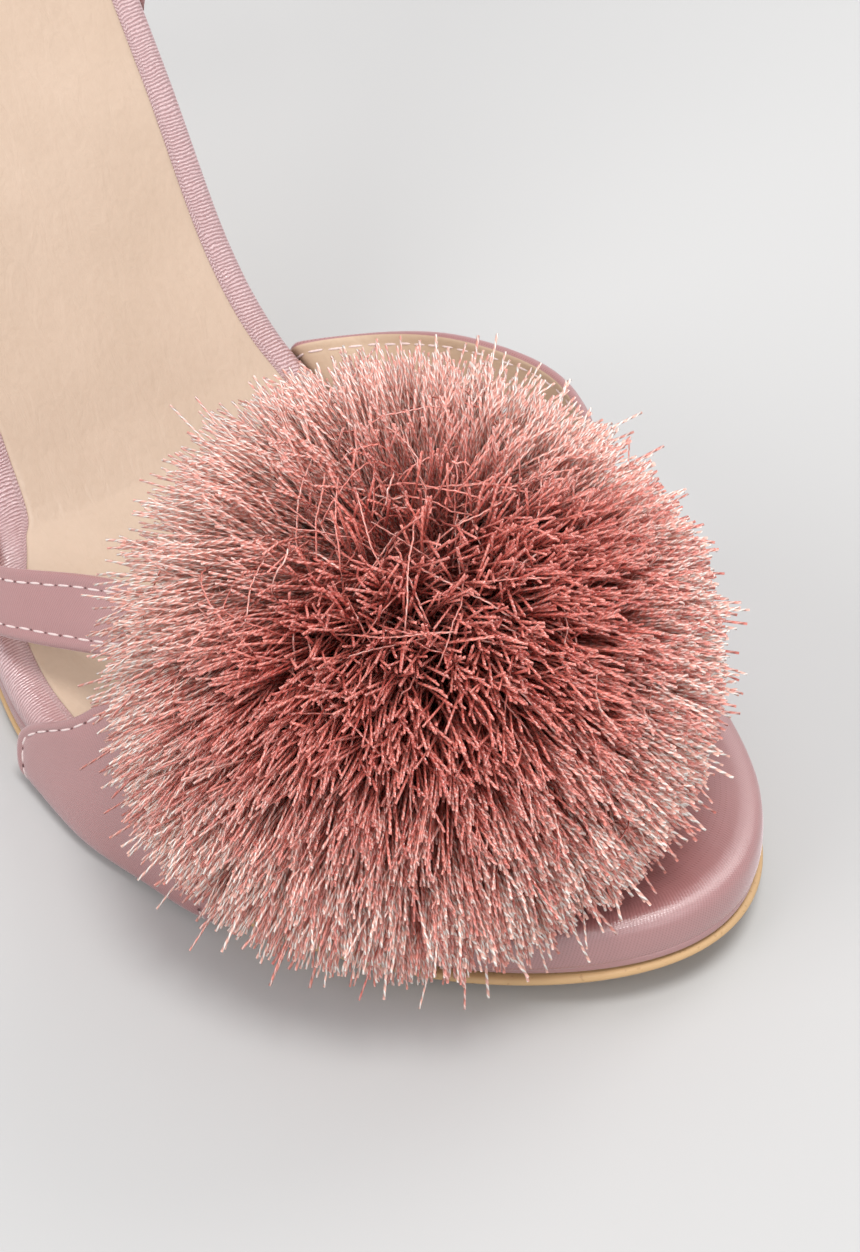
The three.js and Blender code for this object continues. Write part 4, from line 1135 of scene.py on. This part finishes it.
def makeLoop():
    # ribbon whose inner face runs up the counter, round the strap's slot and back to itself
    s = {"wall": ankle["loopWall"], "inset": 1.5, "groove": 0.12, "crown": 0.08, "turn": 0.8, "middle": 8}
    back, front = onAnkle(180, ankle["wall"] + last["gap"], 0), onAnkle(180, -last["gap"] - 0.7, 0)
    halfSlot = ankle["strapWidth"] / 2 + last["gap"]
    low, high = back[2] - halfSlot, back[2] + halfSlot
    height = np.array([0.62, 0.72, 0.82, 0.92, 0.98]) * counter["height"]
    outX = counterTop[0] - counter["wall"] - counterLean(height) - last["gap"]
    upCounter = np.stack([outX, counterTop[2] + height], axis=-1)
    line = np.concatenate([upCounter, [
        [back[0], low - 2], [back[0], low + 2], [back[0], high - 2], [back[0] + 0.1, high - 0.5],
        [back[0] + 0.8, high], [front[0] - 0.8, high], [front[0] - 0.1, high - 0.5], [front[0], high - 2],
        [front[0], low + 2], [front[0] - 0.1, low + 0.3], [front[0] - 0.9, low - 1.6],
        [front[0] - 1.5, low - 3.2],
    ]])
    path = splineRows(line, 150)
    across = np.linspace(-0.5, 0.5, 13) * ankle["loopWidth"]
    inner = np.stack([
        np.broadcast_to(path[:, None, 0], (len(path), len(across))),
        np.broadcast_to(across, (len(path), len(across))),
        np.broadcast_to(path[:, None, 1], (len(path), len(across))),
    ], axis=-1)
    grids, info = sheetGrids(inner, s, openEnds=(1, 1))
    addStitches(info, s["inset"], faces=("outer",), start=1.5, end=12)
    return dress(makePiece("back_loop", grids, [satin, liningLeather]), "strap_loop")


makeLoop()
print("sandal: buckle and back loop are on")

# Pompom: threads from one tie on the band, cut off along a ball

pompom = {
    "tie": (38.0, -1.0, 33.5), "centre": (45.7, -8.7, 35.1), "radius": 39.4,
    # the whorl faces crown; threads lie open towards back
    "crown": (0.49, -0.36, 0.79), "back": (-0.74, -0.02, 0.67),
    "count": 36000, "most": 16200, "bundle": 4900, "segments": 6, "thick": 0.185, "seed": 11,
    "tufts": 420, "pull": 0.3, "crinkle": 0.36, "sway": 0.06, "arch": (0.1, 0.3), "packed": 1.6,
    "openShare": 0.2, "fullShare": 0.55, "rimShare": 0.58, "thinning": 0.38, "mess": 0.6,
    # degrees from the crown: where each change starts and over how many it goes
    "openFade": (22, 56), "fullFade": (4, 22), "rimFade": (62, 30), "thinFade": (38, 34),
    "archFade": (10, 40), "messFade": (6, 36), "sheenFade": (30, 45), "dimFade": (92, 30), "openSheen": (10, 28),
    "uneven": 0.09, "short": 0.22, "long": 0.09,  # how far threads differ, as shares of their length
    "floor": 6.0, "lift": 0.5, "settle": 2.2, "bandEnds": (0.62, 0.16),
    "strays": 170, "strayThick": 0.14, "strayBow": 4.2, "core": 16.0, "coreShift": 0.45,
    "archRows": [(-1.12, -0.3)] + [(side, height) for side, height, _, _ in upper["band"]] + [(1.16, -0.3)],
}


def roomTop(x, y):
    # height of the toe band's arch over the foot, which gives way to the insole ahead of the band
    half, middle = outlineAt(np.minimum(x, 0.995 * last["toeReach"]))
    arch = curveThrough(pompom["archRows"])
    side = (y - middle) / np.maximum(half + last["bandWall"], 1)
    inside = np.abs(side) < 1.1
    band = tread(x) + rootLevel + arch(np.clip(side, -1.12, 1.16)) * (roomHeight(x) + last["bandWall"])
    insole = tread(x) + insoleTop(x)
    toInsole = fade(x / last["toeReach"], pompom["bandEnds"])
    top = band + (np.minimum(insole, band) - band) * toInsole
    return np.where(inside & (x < last["toeReach"] + 1), top, -50)


def scatter(count, rng):
    # even directions over the whole ball, each a little off its place
    i = np.arange(count) + 0.5
    z = 1 - 2 * i / count
    turn = i * math.pi * (3 - math.sqrt(5))
    level = np.sqrt(1 - z * z)
    spots = np.stack([level * np.cos(turn), level * np.sin(turn), z], axis=-1)
    return unit(spots + rng.normal(0, 1.2 / math.sqrt(count), spots.shape))


def reachBall(s, aim):
    # distance from the tie to the ball along each aim, from the quadratic of line and ball
    off = np.array(s["tie"]) - np.array(s["centre"])
    along = aim @ off
    return -along + np.sqrt(along**2 - off @ off + s["radius"] ** 2)


def awayFrom(aim, axis):
    # the direction of each aim square to the axis
    return unit(aim - (aim @ axis)[:, None] * axis)


def bowPaths(start, bend, end, t):
    # quadratic Bezier curves, all threads at once
    return start[:, None] * (1 - t) ** 2 + 2 * bend[:, None] * t * (1 - t) + end[:, None] * t**2


def threadPaths(s):
    # each thread aims from the tie at its even place on the ball, is drawn to its tuft and bows over
    rng = np.random.default_rng(s["seed"])
    tie = np.array(s["tie"])
    crown, back = unit(np.array(s["crown"])), unit(np.array(s["back"]))
    aim = scatter(s["count"], rng)
    tufts = scatter(s["tufts"], rng)
    nearest = tufts[np.argmax(aim @ tufts.T, axis=1)]
    side = smooth((awayFrom(aim, crown) @ back + 0.2) / 0.8)[:, None]
    aim = unit(aim + (s["pull"] + 0.25 * side) * rng.uniform(0.2, 1, (len(aim), 1)) * (nearest - aim))
    angle = np.degrees(np.arccos(np.clip(aim @ crown, -1, 1)))
    towardsBack = smooth((awayFrom(aim, crown) @ back + 0.35) / 0.8)

    # fewer threads on the open side, most of them in a ring between its crown and its rim
    openCrown = s["openShare"] + (1 - s["openShare"]) * fade(angle, s["openFade"])
    fullCrown = s["fullShare"] + (1 - s["fullShare"]) * fade(angle, s["fullFade"])
    openRim = 1 - s["rimShare"] * fade(angle, s["rimFade"])
    chance = openCrown * openRim * towardsBack + fullCrown * (1 - towardsBack)
    kept = rng.uniform(0, 1, len(aim)) < chance
    aim, angle, towardsBack = aim[kept], angle[kept], towardsBack[kept]

    # lengths to the ball, some cut shorter and some longer
    uneven, shorter, longer = rng.uniform(0, 1, (3, len(aim)))
    cut = s["uneven"] * uneven**1.5 + s["short"] * np.maximum(shorter - 0.8, 0) / 0.2
    length = reachBall(s, aim)
    length *= 1 - cut + s["long"] * np.maximum(longer - 0.9, 0) / 0.1
    thinned = s["thinning"] * rng.uniform(0, 1, len(aim))
    length *= 1 - thinned * towardsBack * fade(angle, s["thinFade"])

    # threads that would run through the band, the sole or the floor are left out
    end = tie + aim * length[:, None]
    free = (end[:, 2] > s["floor"]) & (end[:, 2] > roomTop(end[:, 0], end[:, 1]) - 3.5)
    half = tie + 0.62 * (end - tie)
    free &= half[:, 2] > roomTop(half[:, 0], half[:, 1]) - 9
    chosen = np.sort(rng.permutation(np.flatnonzero(free))[: s["most"]])
    aim, angle, towardsBack, end, length = (a[chosen] for a in (aim, angle, towardsBack, end, length))

    # each leaves the tie, arches towards the crown and waves a little
    start = tie + rng.normal(0, s["packed"], aim.shape)
    arch = s["arch"][0] + (s["arch"][1] - s["arch"][0]) * towardsBack
    arched = arch[:, None] * crown * fade(angle[:, None], s["archFade"])
    bend = start + (0.52 * aim + arched) * length[:, None]
    messy = 1 + s["mess"] * (1 - fade(angle[:, None], s["messFade"]))
    bend += rng.normal(0, s["sway"], aim.shape) * length[:, None] * messy
    t = np.linspace(0.16, 1, s["segments"] + 1)[None, :, None]
    waves = rng.normal(0, s["crinkle"], (len(aim), s["segments"] + 1, 3))
    paths = bowPaths(start, bend, end, t) + waves * np.sin(math.pi * np.clip(t, 0, 0.85))
    top = roomTop(paths[..., 0], paths[..., 1]) + s["lift"] + rng.uniform(0, s["settle"], (len(aim), 1))
    paths[..., 2] = np.maximum(paths[..., 2], np.maximum(top, s["floor"]))

    # painted sheen: paler towards the cut ends round the rim and all along on the open side, for light through
    # and off the thin threads
    rimSheen = fade(angle + 18 * towardsBack, s["sheenFade"]) * (1 - 0.4 * fade(angle, s["dimFade"]))
    highlightShare = rng.uniform(0, 1, (len(aim), 1))
    highlightShare = np.where(highlightShare < 0.5, 0.1 + 0.6 * highlightShare, 0.55 + 0.5 * highlightShare)
    # the painted sheen grows towards the thread's outer end
    outer = smooth((t[..., 0] - 0.45 + 0.2 * towardsBack[:, None]) / 0.5)
    paintedSheen = outer * (0.1 + 0.95 * rimSheen[:, None]) * highlightShare
    paintedSheen = np.maximum(paintedSheen, 0.5 * towardsBack[:, None] * fade(angle[:, None], s["openSheen"]))
    tone = np.broadcast_to(rng.uniform(0, 1, (len(aim), 1)), paintedSheen.shape)
    return paths, paintedSheen, tone, rng


def strayPaths(s, rng):
    # loose fibres over the crown: each rises from inside the ball and bends over in a bow of its own
    tie, crown, each = np.array(s["tie"]), unit(np.array(s["crown"])), (s["strays"], 1)
    rise = unit(crown + rng.normal(0, 0.36, (s["strays"], 3)))
    turn = unit(np.cross(rise, rng.normal(0, 1, rise.shape)))
    ahead = unit(rise + turn * rng.uniform(0.2, 0.62, each))
    far = reachBall(s, ahead)[:, None] * rng.uniform(0.72, 0.97, each)
    start, end = tie + rise * 0.55 * far, tie + ahead * far
    bend = tie + unit(rise + 0.12 * turn) * far * rng.uniform(0.98, 1.12, each)
    t = np.linspace(0, 1, s["segments"] + 5)[None, :, None]
    paths = bowPaths(start, bend, end, t)
    bow = np.cross(ahead, turn) * rng.normal(0, s["strayBow"], each)
    paths += bow[:, None] * np.sin(math.pi * 1.1 * t) + rng.normal(0, 0.16, paths.shape)
    tone = np.broadcast_to(rng.uniform(0.3, 1, each), paths.shape[:2])
    # painted sheen on the loose fibres, growing towards their ends
    paintedSheen = rng.uniform(0.05, 0.5, each) * np.linspace(0.3, 1, paths.shape[1])
    return paths, paintedSheen, tone


# tip is the colour of the painted sheen on the lit thread ends
threadColours = {
    "deep": (0.5, 0.082, 0.063, 1), "rose": (0.8, 0.225, 0.175, 1), "tip": (1.0, 0.57, 0.47, 1),
    # glint is the colour of the painted highlights on the twists
    "paintedGlint": (1.0, 0.91, 0.85, 1),
}


def pompomFinish(colours):
    # twisted shiny thread: deep rose, paler with painted sheen where its sheen attribute is high, with short
    # painted glints along its twists
    material, tree, shader = newMaterial(
        "roseThread", Roughness=0.24, Specular_IOR_Level=0.9, Sheen_Weight=0.12, Sheen_Roughness=0.3,
        Sheen_Tint=(1, 0.8, 0.76, 1),
    )
    paintedSheen, tone = (
        addNode(tree, "ShaderNodeAttribute", attribute_name=name).outputs["Fac"] for name in ("paintedSheen", "tone")
    )
    cloth = addNode(tree, "ShaderNodeUVMap", uv_map="cloth").outputs[0]
    split = addNode(tree, "ShaderNodeSeparateXYZ", {0: cloth})
    twist = wave(tree, plus(tree, weighted(tree, split.outputs[0], 0.75, tone, 7.0), split.outputs[1]))
    # painted glints on the crests of the twist, strongest where the painted sheen is
    highlightShare = times(tree, math2(tree, "SUBTRACT", twist, 0.12, clamp=True), 2.6, clamp=True)
    paintedGlint = times(tree, highlightShare, plus(tree, times(tree, paintedSheen, 1.15), 0.02, clamp=True))
    ground = mixColours(tree, tone, colours["deep"], colours["rose"])
    ground = mixColours(tree, paintedSheen, ground, colours["tip"])
    feed(tree, shader, Base_Color=mixColours(tree, paintedGlint, ground, colours["paintedGlint"]),
         Normal=bumpFrom(tree, twist, 0.6, 0.00012))
    return material


def coreFinish():
    # packed thread in a darker red than the loose threads: painted shade deep inside the pompom
    return mottledFinish("packedThread", (0.28, 0.06, 0.05, 1), (0.5, 0.15, 0.12, 1), 900.0, 3.0, 0.6, 0.0006,
                         Roughness=0.8)


def heartBall(s):
    # a ball between the tie and the middle of the pompom, flattened where the toe band runs under it
    polar, around = np.meshgrid(np.linspace(0, math.pi, 33), np.linspace(0, 2 * math.pi, 65), indexing="ij")
    ball = np.stack([np.sin(polar) * np.cos(around), np.sin(polar) * np.sin(around), np.cos(polar)], axis=-1)
    middle = (1 - s["coreShift"]) * np.array(s["tie"]) + s["coreShift"] * np.array(s["centre"])
    ball = middle + s["core"] * ball
    under = roomTop(ball[..., 0], ball[..., 1]) + 0.4 + 0.1 * (math.pi - polar)
    ball[..., 2] = np.maximum(ball[..., 2], under)
    return ball


def makePompom(s):
    # threads as three-sided tubes in a few bundles, the loose fibres, and a heart in place of the imported
    # pompom
    paths, paintedSheen, tone, rng = threadPaths(s)
    thread = pompomFinish(threadColours)
    growing = 0.75 + 0.3 * np.linspace(0, 1, paths.shape[1])
    size = s["thick"] * growing[None, :] * rng.uniform(0.8, 1.15, (len(paths), 1))
    bundles = math.ceil(len(paths) / s["bundle"])
    for i in range(bundles):  # bundles of at most the given count of threads; bundles under the limit of faces for one piece
        part = slice(i, None, bundles)
        piece = tubePiece(f"pompom_threads_{i + 1}", paths[part], size[part], 3, [thread],
                          attributes={"paintedSheen": paintedSheen[part], "tone": tone[part]})
        dress(piece, None)
    loose, looseSheen, looseTone = strayPaths(s, rng)
    piece = tubePiece("pompom_strays", loose, np.full(loose.shape[:2], s["strayThick"]), 3, [thread],
                      attributes={"paintedSheen": looseSheen, "tone": looseTone})
    dress(piece, None)
    dress(makePiece("pompom_heart", [{"points": heartBall(s)}], [coreFinish()]), "pompom")
    print("sandal: pompom of", len(paths), "threads")


makePompom(pompom)


floorLook = {"size": 30.0, "colour": (0.495, 0.494, 0.492, 1)}


def makeFloor(s):
    # one wide plane under the shoe
    mesh = bpy.data.meshes.new("studio_floor")
    h = s["size"] / 2
    mesh.from_pydata([(-h, -h, 0), (h, -h, 0), (h, h, 0), (-h, h, 0)], [], [(0, 1, 2, 3)])
    material = newMaterial("paleFloor", Roughness=0.85, Specular_IOR_Level=0.2, Base_Color=s["colour"])[0]
    mesh.materials.append(material)
    placeObject("studio_floor", mesh)


studioLight = {
    # where each lamp shines from, its strength, its spread in degrees and its colour
    "lamps": [
        ((0.267, -0.1, 0.958), 1.7, 19, (1, 0.99, 0.975)),
        ((-0.2, 0.675, 0.71), 0.74, 35, (1, 0.985, 0.965)),
        ((0.073, -0.806, 0.587), 1.1, 34, (1, 0.99, 0.98)),
        ((0.83, 0.19, 0.53), 0.45, 34, (0.98, 0.99, 1)),
    ],
    "sky": (0.97, 0.98, 1, 1), "skyStrength": 0.74,
}


def makeLights(s):
    # wide soft lamps and an even pale sky
    for i, (place, strength, spread, colour) in enumerate(s["lamps"]):
        data = bpy.data.lights.new(f"softLight{i}", "SUN")
        data.energy, data.angle, data.color = strength, math.radians(spread), colour
        away = unit(np.array(place))
        side = unit(np.cross([0, 0, 1], away))
        aimObject(placeObject(f"softLight{i}", data), [side, np.cross(away, side), away], place)
    world = bpy.data.worlds.new("studio")
    world.use_nodes = True
    background = world.node_tree.nodes["Background"].inputs
    background[0].default_value = s["sky"]
    background[1].default_value = s["skyStrength"]
    bpy.context.scene.world = world
    bpy.context.scene.view_settings.view_transform = "Standard"


makeFloor(floorLook)
makeLights(studioLight)


def makeStitches():
    # a rounded rod for each stitch and a small dark one where the needle went in, its darkness the painted
    # shade of the hole
    dress(makePiece("seam_stitches", rodGrids(allStitches), [stitchThread]), None)
    hole = stitchKit["hole"]
    holes = capsules(*joined(*zip(*allHoles)), hole["length"], hole["radius"], hole["sides"])
    dress(makePiece("seam_pinhole_shades", rodGrids(holes), [pinholeShade]), None)


makeStitches()
print("sandal: seams are sewn")
